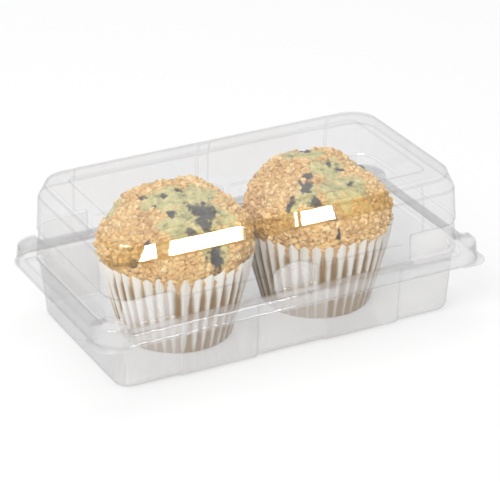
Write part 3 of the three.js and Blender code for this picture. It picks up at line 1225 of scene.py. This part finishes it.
@dataclass
class PaperCup:
    """A pleated paper cup round a muffin."""

    rim: Rim
    centre: float
    seed: int
    pleats: int = 38
    points_per_pleat: int = 8
    paper: float = 0.14
    base_radius: float = 26.4
    rim_radius: float = 36.0
    height: float = 38.2
    depth_base: float = 0.3
    depth_rim: float = 1.45
    tooth: float = 1.7
    front_rise: float = 4.2
    levels: int = 16
    uneven_fold: float = 0.13
    uneven_radius: float = 0.2
    uneven_turn: float = 0.5
    uneven_height: float = 0.7
    lift_power: int = 5
    floor_share: float = 0.97
    touch_base: float = 0.80
    touch_fall: float = 0.42
    # Painted shade in part: the pleats' valleys are browner, where the paper lies on the cake and where shade
    # falls between the pleats.
    valley_soak_and_shade: float = 0.5
    touch_reach: float = 0.4
    touch_rim: float = 0.5
    touch_rim_power: int = 8
    sharp: float = 30.0

    def build(self, name: str, material: Material) -> Piece:
        """Builds the cup.

        Args:
            name: The piece's name.
            material: The paper.

        Returns:
            The cup.
        """
        rng = random.Random(self.seed)
        wobble = [rng.uniform(-1, 1) for _ in range(self.pleats)]
        tall = [rng.uniform(-1, 1) for _ in range(self.pleats)]
        bottom = self.rim.sheet + self.rim.gap
        rings = [self.ring(level / self.levels, bottom, wobble, tall) for level in range(self.levels + 1)]
        middle = self.centre * MM * (1 - self.floor_share)
        keep = self.floor_share
        inner = [Vector((p.x * keep + middle, p.y * keep, bottom * MM)) for p in rings[0]]
        piece = Bench.loft(name, [inner, *rings], (True, False))
        Bench.apply(piece, "SOLIDIFY", thickness=self.paper * MM, offset=-1.0)
        Bench.smooth(piece, self.sharp)
        Bench.store(piece, {"soak_and_valley_shade": self.soak_and_valley_shade(piece, bottom)})
        Bench.dress(piece, material)
        return piece

    def ring(self, share: float, bottom: float, wobble: list[float], tall: list[float]) -> list[Vector]:
        """Draws the pleated outline at a share of the way from the base to the rim.

        Args:
            share: The share.
            bottom: The height of the cup's base in millimetres.
            wobble: How uneven each pleat is, from -1 to 1.
            tall: How much higher or lower each pleat's tooth is, from -1 to 1.

        Returns:
            The outline's points in metres.
        """
        radius = self.base_radius + (self.rim_radius - self.base_radius) * share
        depth = self.depth_base + (self.depth_rim - self.depth_base) * share
        count = self.pleats * self.points_per_pleat
        ring = []
        for i in range(count):
            angle = 2 * math.pi * i / count
            pleat, phase = divmod(i, self.points_per_pleat)
            turn = phase / self.points_per_pleat
            peak = 0.5 + self.uneven_fold * wobble[pleat - 1]
            fold = 2 * turn / peak - 1 if turn < peak else 1 - 2 * (turn - peak) / (1 - peak)
            lean = wobble[pleat] * share
            r = radius + fold * depth + lean * self.uneven_radius
            a = angle + lean * self.uneven_turn / radius
            front = (1 - math.sin(angle)) / 2
            lift = self.tooth * fold + self.uneven_height * tall[pleat] + self.front_rise * front
            z = bottom + self.height * share + lift * share**self.lift_power
            ring.append(Vector((self.centre + r * math.cos(a), r * math.sin(a), z)) * MM)
        return ring

    def soak_and_valley_shade(self, piece: Piece, bottom: float) -> list[float]:
        """Works out how brown the paper is: low down where it lies on the cake, and in the valleys of the
        pleats, partly the cake and partly painted shade between the pleats.

        Args:
            piece: The cup.
            bottom: The height of its base in millimetres.

        Returns:
            How brown the paper is at each of its points.
        """
        values = []
        for vertex in piece.data.vertices:
            p = vertex.co / MM
            share = (p.z - bottom) / self.height
            mean = self.base_radius + (self.rim_radius - self.base_radius) * share
            valley = mean - math.hypot(p.x - self.centre, p.y)
            near = self.touch_base - self.touch_fall * share
            # The valleys between the pleats get browner, partly as painted shade.
            near += self.valley_soak_and_shade * valley / (self.touch_reach + share)
            values.append(near - self.touch_rim * share**self.touch_rim_power)
        return values


SpotAxes = tuple[Vector, Vector, Vector, float, float]


@dataclass(frozen=True)
class Spot:
    """A round patch on a muffin: its direction from the muffin's middle, and its reach, in degrees."""

    azimuth: float
    elevation: float
    reach: float
    stretch: float = 1.0

    def axes(self) -> SpotAxes:
        """Works out how a spot lies in space.

        Returns:
            Its direction, the directions across and up it, its reach in radians and its stretch.
        """
        azimuth, elevation = math.radians(self.azimuth), math.radians(self.elevation)
        flat = math.cos(elevation)
        at = Vector((flat * math.sin(azimuth), -flat * math.cos(azimuth), math.sin(elevation)))
        up = (Vector((0, 0, 1)) - at * at.z).normalized()
        return at, at.cross(up), up, math.radians(self.reach), self.stretch


@dataclass(frozen=True)
class PaintedRefractionBand:
    """Painted refraction: a golden band over the front of both domes, dipping towards their sides, for the
    lid's shoulder.
    """

    height: float = 56.0
    half_width: float = 5.2
    dip: float = 0.56
    dip_from_y: float = -25.0
    back_y: float = 5.0
    edge_power: int = 4

    def at(self, p: Vector) -> float:
        """Returns how much of the painted refraction band the crust gets.

        Args:
            p: The place in millimetres.

        Returns:
            The band's share there, from 0 to 1.
        """
        if p.y > self.back_y:
            return 0.0
        band = p.z + self.dip * (p.y - self.dip_from_y)
        return max(0.0, 1 - (abs(band - self.height) / self.half_width) ** self.edge_power)


@dataclass(frozen=True)
class Relief:
    """A pattern on the crust: how many of its lumps lie in a millimetre, and their height."""

    scale: float
    height: float


@dataclass
class Muffin:
    """A muffin with a crumb top, dark berries and bare patches."""

    rim: Rim
    centre: float
    seed: int
    bare: tuple[Spot, ...]
    berries: tuple[Spot, ...]
    lean: tuple[float, float]
    base_radius: float = 25.4
    neck_radius: float = 34.2
    neck_height: float = 37.0
    dome_radius: float = 35.8
    widest: float = 44.3
    top: float = 70.4
    dome_shape: float = 2.1
    segments: int = 352
    rings: int = 216
    above_base: float = 0.6
    base_share: float = 0.04
    neck_share: float = 0.22
    widest_share: float = 0.34
    spot_height: float = 42.0
    ceiling: float = 71.0
    crust_from: float = 39.0
    crust_fade: float = 4.0
    flattest: float = 0.15
    full_radius: float = 36.0
    broad: Relief = Relief(0.07, 2.2)
    lump: Relief = Relief(0.36, 1.3)
    small_lump: Relief = Relief(0.8, 0.8)
    knob: Relief = Relief(0.2, 0.9)
    crack: Relief = Relief(0.3, 1.3)
    wavy_edge: Relief = Relief(0.22, 0.5)
    ragged_edge: Relief = Relief(0.7, 0.45)
    edge_share: float = 0.5
    dome_drop: float = 0.4
    crumb_drop: float = 1.1
    bare_flatness: float = 0.75
    bare_gain: float = 1.6
    berry_gain: float = 1.4
    least_crumbly: float = 0.3
    plain_depth: float = 0.7
    plain_tone: float = 0.35
    seed_step: float = 3.1
    sharp: float = 75.0
    # The painted refraction band across the dome's front.
    painted_band: PaintedRefractionBand = PaintedRefractionBand()

    def profile(self, share: float) -> tuple[float, float, float]:
        """Follows the muffin's outline from its base up to its top.

        Args:
            share: The share of the way.

        Returns:
            The radius, the height and the share of the lean there.
        """
        base = self.rim.sheet + self.rim.gap + self.above_base
        if share < self.base_share:
            return self.base_radius * share / self.base_share, base, 0.0
        if share < self.neck_share:
            t = (share - self.base_share) / (self.neck_share - self.base_share)
            radius = self.base_radius + (self.neck_radius - self.base_radius) * t
            return radius, base + (self.neck_height - base) * t, 0.0
        if share < self.widest_share:
            t = (share - self.neck_share) / (self.widest_share - self.neck_share)
            swell = math.sin(t * math.pi / 2)
            radius = self.neck_radius + (self.dome_radius - self.neck_radius) * swell
            return radius, self.neck_height + (self.widest - self.neck_height) * t, 0.0
        angle = math.pi / 2 * (share - self.widest_share) / (1 - self.widest_share)
        power = 2 / self.dome_shape
        radius = self.dome_radius * math.cos(angle) ** power if angle < math.pi / 2 - TINY else 0.0
        rise = math.sin(angle) ** power
        return radius, self.widest + (self.top - self.widest) * rise, rise * (1 - radius / self.dome_radius)

    def spot(self, p: Vector, spots: list[SpotAxes]) -> float:
        """Returns how deep a point lies inside the nearest of some spots, whose edges are ragged.

        Args:
            p: The point in millimetres.
            spots: The spots.

        Returns:
            The depth, from 0 at an edge to 1.
        """
        if p.z < self.neck_height:
            return 0.0
        way = (p - Vector((self.centre, 0, self.spot_height))).normalized()
        shift = Vector((self.seed, 0, 0))
        wavy, fine = self.wavy_edge, self.ragged_edge
        ragged = wavy.height * noise.noise(p * wavy.scale + shift)
        ragged += fine.height * noise.noise(p * fine.scale)
        best = 0.0
        for at, across, up, reach, stretch in spots:
            d = way - at
            distance = math.hypot(d.dot(across), d.dot(up) / stretch)
            best = max(best, 1 - distance / reach * (1 - ragged) * self.edge_share)
        return best

    def build(self, name: str, material: Material) -> Piece:
        """Builds the muffin.

        Args:
            name: The piece's name.
            material: The crust.

        Returns:
            The muffin.
        """
        Bench.clear()
        bpy.ops.mesh.primitive_uv_sphere_add(segments=self.segments, ring_count=self.rings, radius=1.0)
        piece = Bench.take(name)
        bare_spots = [s.axes() for s in self.bare]
        berry_spots = [s.axes() for s in self.berries]
        names = ("bare", "berry", "depth", "side", "painted_band", "tone")
        layers: dict[str, list[float]] = {name: [] for name in names}
        for vertex in piece.data.vertices:
            share = 1 - math.acos(max(-1.0, min(1.0, vertex.co.z))) / math.pi
            azimuth = math.atan2(vertex.co.y, vertex.co.x)
            place, marks = self.crust_point(share, azimuth, bare_spots, berry_spots)
            vertex.co = place * MM
            for values, value in zip(layers.values(), marks):
                values.append(value)
        Bench.store(piece, layers)
        Bench.smooth(piece, self.sharp)
        Bench.dress(piece, material)
        return piece

    def crust_point(
        self, share: float, azimuth: float, bare_spots: list[SpotAxes], berry_spots: list[SpotAxes]
    ) -> tuple[Vector, tuple[float, ...]]:
        """Works out a point of the crust, with its crumbs, knobs and cracks.

        Args:
            share: The share of the way from the muffin's base to its top.
            azimuth: The direction round it, in radians.
            bare_spots: The bare patches.
            berry_spots: The berries.

        Returns:
            The point in millimetres, and what the crust's material reads there: how bare it is, how near a
            berry, how deep between crumbs, whether on the side, how much painted refraction band, and its tone.
        """
        radius, z, lean = self.profile(share)
        out_x, out_y = math.cos(azimuth), math.sin(azimuth)
        x = self.centre + radius * out_x + self.lean[0] * lean
        y = radius * out_y + self.lean[1] * lean
        p = Vector((x, y, z))
        flat = max(self.flattest, radius / self.full_radius)
        rising = 0.0 if z < self.widest else (z - self.widest) / (self.top - self.widest)
        out = Vector((out_x * flat, out_y * flat, rising)).normalized()
        on_dome = min(1.0, max(0.0, (z - self.crust_from) / self.crust_fade))
        bare, berry = self.spot(p, bare_spots), self.spot(p, berry_spots)
        crumbly = on_dome * (1 - self.bare_flatness * min(1.0, bare * self.bare_gain))

        shift = Vector((self.seed * self.seed_step, 0, 0))
        broad = noise.noise(p * self.broad.scale + shift) * self.broad.height
        lump = self.lumps(p * self.lump.scale + shift)
        small = self.lumps(p * self.small_lump.scale + shift * 2)
        knobs = noise.noise(p * self.knob.scale + shift) * self.knob.height
        crumbs = self.lump.height * lump + self.small_lump.height * small + knobs - self.crumb_drop
        rise = on_dome * (broad - self.dome_drop) + crumbly * crumbs
        opening = (0.5 + noise.noise(p * self.crack.scale + shift)) * self.crack.height
        crack = on_dome * min(1.0, berry * self.berry_gain) * opening
        place = p + out * (rise - crack)
        place.z = min(place.z, self.ceiling)
        # How deep between crumbs a point lies, which the crust's painted shade reads.
        depth = 0.6 * lump + 0.4 * small if crumbly > self.least_crumbly else self.plain_depth
        return place, (bare, berry, depth, 1.0 - on_dome, self.painted_band.at(p), self.plain_tone)

    @staticmethod
    def lumps(p: Vector) -> float:
        """Returns rounded crumbs from 0 in the gaps to 1 on top."""
        near, _points = noise.voronoi(p, distance_metric="DISTANCE", exponent=2.5)
        return min(1.0, max(0.0, (near[1] - near[0]) * 1.6)) ** 0.5


@dataclass
class CrumbTopping:
    """Loose baked crumbs that cover a muffin between its bare patches and berries."""

    seed: int
    doublings: int = 10
    smallest: float = 0.75
    largest: float = 1.75
    ceiling: float = 71.1
    unevenness: float = 0.28
    barest: float = 0.46
    berry_edge: float = 0.4
    side_edge: float = 0.1
    flat_share: float = 0.15
    size_floor: float = 0.75
    width_range: tuple[float, float] = (0.75, 1.25)
    height_range: tuple[float, float] = (0.6, 0.95)
    knob_scale: float = 1.6
    drift: float = 50.0
    low_depth: float = 0.18
    sharp: float = 80.0
    # The painted refraction band, which the crumbs take too.
    painted_band: PaintedRefractionBand = PaintedRefractionBand()

    def build(self, name: str, muffin: Piece, material: Material) -> Piece:
        """Builds the crumbs as one piece.

        Args:
            name: The piece's name.
            muffin: The muffin that they lie on.
            material: The crust.

        Returns:
            The crumbs.
        """
        rng = random.Random(self.seed)
        Bench.clear()
        bpy.ops.mesh.primitive_uv_sphere_add(segments=8, ring_count=5, radius=1.0)
        piece = Bench.take(name)
        ball = [v.co.copy() for v in piece.data.vertices]
        bpy.ops.object.mode_set(mode="EDIT")
        for _ in range(self.doublings):
            bpy.ops.mesh.select_all(action="SELECT")
            bpy.ops.mesh.duplicate()
        bpy.ops.object.mode_set(mode="OBJECT")
        seats = self.seats(muffin, rng)
        vertices = piece.data.vertices
        tones, depths = [], []
        for start in range(0, len(vertices), len(ball)):
            seat = muffin.data.vertices[rng.choice(seats)]
            places, tone = self.crumb(ball, seat, rng)
            for offset, place in enumerate(places):
                vertices[start + offset].co = place * MM
                tones.append(tone)
                # The lower half of each crumb reads as deep, so it takes the painted shade.
                depths.append(self.low_depth + (ball[offset].z + 1) / 2)
        layers = {name: [0.0] * len(tones) for name in ("bare", "berry", "side")}
        layers |= {"depth": depths, "tone": tones}
        layers["painted_band"] = [self.painted_band.at(v.co / MM) for v in vertices]
        Bench.store(piece, layers)
        Bench.smooth(piece, self.sharp)
        Bench.dress(piece, material)
        return piece

    def crumb(
        self, ball: list[Vector], seat: bpy.types.MeshVertex, rng: random.Random
    ) -> tuple[list[Vector], float]:
        """Shapes a crumb from a ball and lays it on the muffin.

        Args:
            ball: The ball's points.
            seat: The muffin's point that it lies on.
            rng: The source of its size, turn and shade.

        Returns:
            The crumb's points in millimetres, and its tone.
        """
        size = rng.uniform(self.smallest, self.largest)
        size *= self.size_floor + (1 - self.size_floor) * rng.random()
        ranges = (self.width_range, self.width_range, self.height_range)
        reach = Vector([rng.uniform(low, high) for low, high in ranges]) * size
        turn = seat.normal.to_track_quat("Z", "Y")
        spin = rng.uniform(0, math.tau)
        across = Vector((math.cos(spin), math.sin(spin), 0))
        along = Vector((-across.y, across.x, 0))
        drift = Vector((rng.random(), rng.random(), rng.random())) * self.drift
        tone = rng.random()
        places = []
        for v in ball:
            knob = v * (1 + self.unevenness * noise.noise(v * self.knob_scale + drift))
            local = across * knob.x * reach.x + along * knob.y * reach.y + Vector((0, 0, knob.z * reach.z))
            place = seat.co / MM + turn @ local
            place.z = min(place.z, self.ceiling)
            places.append(place)
        return places, tone

    def seats(self, muffin: Piece, rng: random.Random) -> list[int]:
        """Picks the muffin's points that crumbs may lie on, about evenly spread over its area.

        Args:
            muffin: The muffin.
            rng: The source of the choice.

        Returns:
            The points' numbers.
        """
        marks = muffin.data.attributes
        kept = []
        for i, v in enumerate(muffin.data.vertices):
            around = math.hypot(v.normal.x, v.normal.y)
            bare, berry, side = (marks[name].data[i].value for name in ("bare", "berry", "side"))
            crusty = bare < self.barest and berry < self.berry_edge and side < self.side_edge
            if crusty and rng.random() < self.flat_share + (1 - self.flat_share) * around:
                kept.append(i)
        return kept


@dataclass
class HingeFold:
    """The folded web that joins the two lips along the back."""

    rim: Rim
    half_length: float = 79.0
    reach: float = 0.75
    overlap: float = 0.15
    web: float = 0.2
    cloudiness: float = 0.1
    columns: int = 40
    rows: int = 8
    sharp: float = 60.0

    def build(self, material: Material) -> Piece:
        """Builds the fold.

        Args:
            material: The clear sheet.

        Returns:
            The fold, which follows the tray at its lower edge and the lid at its upper one.
        """
        rim = self.rim
        y = rim.half_depth + rim.tab_reach
        low = rim.lip_height - rim.sheet / 2
        high = rim.lip_height + rim.gap + rim.sheet / 2
        middle = (low + high) / 2
        Bench.clear()
        bpy.ops.mesh.primitive_grid_add(x_subdivisions=self.columns, y_subdivisions=self.rows, size=2)
        piece = Bench.take("hinge_fold")
        for vertex in piece.data.vertices:
            turn = vertex.co.y * math.pi / 2
            back = y - self.overlap + self.reach * math.cos(turn)
            up = middle + (high - middle) * math.sin(turn)
            vertex.co = Vector((vertex.co.x * self.half_length, back, up)) * MM
        Bench.apply(piece, "SOLIDIFY", thickness=self.web * MM, offset=0.0)
        Bench.smooth(piece, self.sharp)
        Bench.dress(piece, material)
        mark(piece, veil=lambda _place: self.cloudiness, warm=lambda _place: 0.0)
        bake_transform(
            piece,
            Body.TRAY.value,
            Body.LID.value,
            start=(0, y * MM, low * MM),
            end=(0, y * MM, high * MM),
        )
        return piece


@dataclass(frozen=True)
class Lamp:
    """A soft studio panel, aimed at the box: its place and size in metres, and its power in watts."""

    name: str
    place: tuple[float, float, float]
    size: tuple[float, float]
    power: float
    mirrored: bool = True
    target: tuple[float, float, float] = (0.0, 0.0, 0.035)

    def build(self) -> None:
        """Adds the panel to the scene."""
        data = bpy.data.lights.new(self.name, "AREA")
        data.shape = "RECTANGLE"
        data.size, data.size_y = self.size
        data.energy = self.power
        lamp = bpy.data.objects.new(self.name, data)
        bpy.context.scene.collection.objects.link(lamp)
        lamp.location = self.place
        lamp.visible_glossy = self.mirrored
        way = Vector(self.target) - Vector(self.place)
        lamp.rotation_euler = way.to_track_quat("-Z", "Y").to_euler()


@dataclass
class Studio:
    """The floor, the lights, the surroundings and the camera, in metres and degrees."""

    azimuth: float = -27.5
    elevation: float = 26.27
    distance: float = 1.1642
    lens: float = 176.7
    sensor: float = 36.0
    clip: tuple[float, float] = (0.01, 50.0)
    target: tuple[float, float, float] = (0.00158, 0.0, 0.03226)
    floor_size: float = 8.0
    floor_white: float = 0.9
    seen_white: float = 0.3
    seen_glow: float = 0.57
    world_light: float = 0.55
    sheet_crossings: int = 40
    lamps: tuple[Lamp, ...] = (
        Lamp("key_panel", (-0.9, -0.7, 1.3), (0.9, 0.9), 24.0),
        Lamp("strip_panel", (1.50, -3.75, 0.24), (0.42, 0.5), 24.0),
        Lamp("top_panel", (0.3, 0.5, 1.5), (1.2, 0.9), 12.0, False),
    )

    @staticmethod
    def seen(tree: bpy.types.NodeTree) -> Socket:
        """Adds the test of whether a ray shows the background, directly, mirrored or through the sheet.

        Args:
            tree: The nodes of the floor or of the world.

        Returns:
            The test's result, 1 where it does.
        """
        path = tree.nodes.new("ShaderNodeLightPath")
        found = path.outputs["Is Camera Ray"]
        for ray in ("Is Glossy Ray", "Is Transmission Ray"):
            either = tree.nodes.new("ShaderNodeMath")
            either.operation = "MAXIMUM"
            tree.links.new(found, either.inputs[0])
            tree.links.new(path.outputs[ray], either.inputs[1])
            found = either.outputs[0]
        return found

    def floor(self) -> None:
        """Adds the plain pale floor, which shows white with the box's soft shadow on it."""
        Bench.clear()
        bpy.ops.mesh.primitive_plane_add(size=self.floor_size)
        piece = Bench.take("studio_floor")
        n = Nodes("white_floor")
        seen = self.seen(n.tree)
        colour = n.mix(seen, (self.floor_white,) * 3, (self.seen_white,) * 3)
        diffuse = n.add("ShaderNodeBsdfDiffuse", {"Color": colour}).outputs[0]
        lift = n.times(seen, self.seen_glow)
        glow = n.add("ShaderNodeEmission", {"Color": (1, 1, 1, 1), "Strength": lift}).outputs[0]
        shader = n.add("ShaderNodeAddShader", {0: diffuse, 1: glow}).outputs[0]
        Bench.dress(piece, n.finish(shader))

    def surroundings(self) -> None:
        """Sets a world that shows full white and lights the box less."""
        world = bpy.data.worlds.new("white_studio")
        bpy.context.scene.world = world
        world.use_nodes = True
        tree = world.node_tree
        back = tree.nodes["Background"]
        back.inputs["Color"].default_value = (1, 1, 1, 1)
        strength = tree.nodes.new("ShaderNodeMapRange")
        strength.inputs[3].default_value = self.world_light
        strength.inputs[4].default_value = 1.0
        tree.links.new(self.seen(tree), strength.inputs[0])
        tree.links.new(strength.outputs[0], back.inputs["Strength"])

    def camera(self) -> None:
        """Adds the camera at the photograph's viewing angle."""
        data = bpy.data.cameras.new("camera")
        data.sensor_width = self.sensor
        data.lens = self.lens
        data.clip_start, data.clip_end = self.clip
        camera = bpy.data.objects.new("camera", data)
        bpy.context.scene.collection.objects.link(camera)
        a, e = math.radians(self.azimuth), math.radians(self.elevation)
        back = Vector((math.sin(a) * math.cos(e), -math.cos(a) * math.cos(e), math.sin(e)))
        camera.location = Vector(self.target) + back * self.distance
        camera.rotation_euler = (-back).to_track_quat("-Z", "Y").to_euler()
        bpy.context.scene.camera = camera

    def build(self) -> None:
        """Builds the whole studio."""
        scene = bpy.context.scene
        scene.view_settings.view_transform = "Standard"
        scene.cycles.transparent_max_bounces = self.sheet_crossings
        self.camera()
        self.floor()
        self.surroundings()
        for lamp in self.lamps:
            lamp.build()


@dataclass(frozen=True)
class Filling:
    """One muffin in its cup: where it stands in millimetres, its seed, its patches and its top's lean."""

    side: str
    centre: float
    seed: int
    bare: tuple[Spot, ...]
    berries: tuple[Spot, ...]
    lean: tuple[float, float]


LEFT_BARE = (
    Spot(-80, 82, 21),
    Spot(60, 70, 20),
    Spot(10, 52, 20),
    Spot(-24, 46, 14),
    Spot(10, 26, 12, 1.4),
    Spot(-100, 64, 10),
    Spot(40, 38, 8),
    Spot(170, 40, 16),
    Spot(-130, 30, 11),
)
LEFT_BERRIES = (
    Spot(20, 55, 9.5, 1.4),
    Spot(10, 44, 6.8, 1.4),
    Spot(8, 15, 5.2, 2.4),
    Spot(-9, 37, 3.2, 2.2),
    Spot(-50, 25, 1.8, 3.4),
    Spot(-125, 58, 3.5),
    Spot(18, 32, 3.4),
    Spot(-60, 11, 3.4),
    Spot(-32, 58, 3.2, 1.6),
    Spot(-116, 80, 3.6),
    Spot(138, 80, 3.4),
    Spot(-85, 65, 3),
    Spot(120, 30, 5, 1.5),
    Spot(170, 48, 5.5),
    Spot(-150, 22, 4.5, 1.8),
)
RIGHT_BARE = (
    Spot(-163, 56, 12),
    Spot(165, 66, 13),
    Spot(30, 77, 17),
    Spot(-5, 51, 13),
    Spot(26, 48, 16),
    Spot(-40, 44, 10),
    Spot(-52, 30, 7),
    Spot(2, 35, 8),
    Spot(100, 35, 14),
    Spot(-160, 22, 10),
)
RIGHT_BERRIES = (
    Spot(-53, 67, 4.8, 1.4),
    Spot(-44, 52, 4.6, 1.7),
    Spot(85, 77, 4, 0.6),
    Spot(60, 66, 2.6, 1.8),
    Spot(30, 50, 4, 0.7),
    Spot(-56, 31, 3, 2.4),
    Spot(-29, 37, 4),
    Spot(-14, 25, 2.4, 2.2),
    Spot(-11, 10, 1.8, 3.2),
    Spot(105, 28, 5, 1.6),
    Spot(170, 50, 5.5),
    Spot(-140, 30, 4.5, 1.7),
)


FILLINGS = (
    Filling("left", -37.5, 3, LEFT_BARE, LEFT_BERRIES, (9.0, 10.0)),
    Filling("right", 37.5, 8, RIGHT_BARE, RIGHT_BERRIES, (-2.5, 15.0)),
)

SHEET = ClearSheet("clear_sheet")
# Painted shade: the lid's bends are darker than the flat sheet, for the dark lines that refraction draws along
# them.
LID_BEND_PAINTED_DARK = ClearSheet(
    "sheet_bend_painted_dark",
    facing_tint=(0.93, 0.93, 0.935),
    turned_tint=(0.76, 0.76, 0.77),
    # Painted reflection of the cakes, strongest on the shoulder's bends.
    warm_tint=(0.91, 0.865, 0.71),
    haze=0.02,
    veil=0.1,
    gloss=0.06,
)
# Painted shade: the tray's bends are darker than the flat sheet, for the dark lines that refraction draws along
# them.
TRAY_BEND_PAINTED_DARK = ClearSheet(
    "soft_bend_painted_dark",
    facing_tint=(0.94, 0.94, 0.945),
    turned_tint=(0.80, 0.80, 0.81),
    warm_tint=(1.0, 1.0, 1.0),
    haze=0.02,
    veil=0.25,
    gloss=0.06,
)


def main() -> None:
    """Builds every piece in order and reports it."""
    logging.basicConfig(level=logging.INFO)
    rim = Rim()
    Studio().build()
    sheet = SHEET.material()
    lid_finishes = SheetFinishes(sheet, LID_BEND_PAINTED_DARK.material())
    tray_finishes = SheetFinishes(sheet, TRAY_BEND_PAINTED_DARK.material())
    paper = BakingPaper("baking_paper").material()
    crust = MuffinCrust("muffin_crust").material()

    lid = ClearLid(rim).build(lid_finishes)
    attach(lid, Body.LID.value)
    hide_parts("lid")
    LOG.info("%s: %d faces", lid.name, len(lid.data.polygons))

    tray = ClearTray(rim).build(tray_finishes)
    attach(tray, Body.TRAY.value)
    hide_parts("tray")
    LOG.info("%s: %d faces", tray.name, len(tray.data.polygons))

    fold = HingeFold(rim).build(sheet)
    LOG.info("%s: %d faces", fold.name, len(fold.data.polygons))

    for f in FILLINGS:
        cup = PaperCup(rim, f.centre, f.seed).build(f"paper_cup_{f.side}", paper)
        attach(cup, Body.TRAY.value)
        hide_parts(f"liner_{f.side}")
        LOG.info("%s: %d faces", cup.name, len(cup.data.polygons))

        cake = Muffin(rim, f.centre, f.seed, f.bare, f.berries, f.lean)
        muffin = cake.build(f"crumb_muffin_{f.side}", crust)
        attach(muffin, Body.TRAY.value)
        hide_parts(f"muffin_{f.side}")
        LOG.info("%s: %d faces", muffin.name, len(muffin.data.polygons))

        crumbs = CrumbTopping(f.seed).build(f"crumbs_{f.side}", muffin, crust)
        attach(crumbs, Body.TRAY.value)
        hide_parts(f"muffin_{f.side}")
        LOG.info("%s: %d faces", crumbs.name, len(crumbs.data.polygons))


if __name__ == "__main__":
    main()
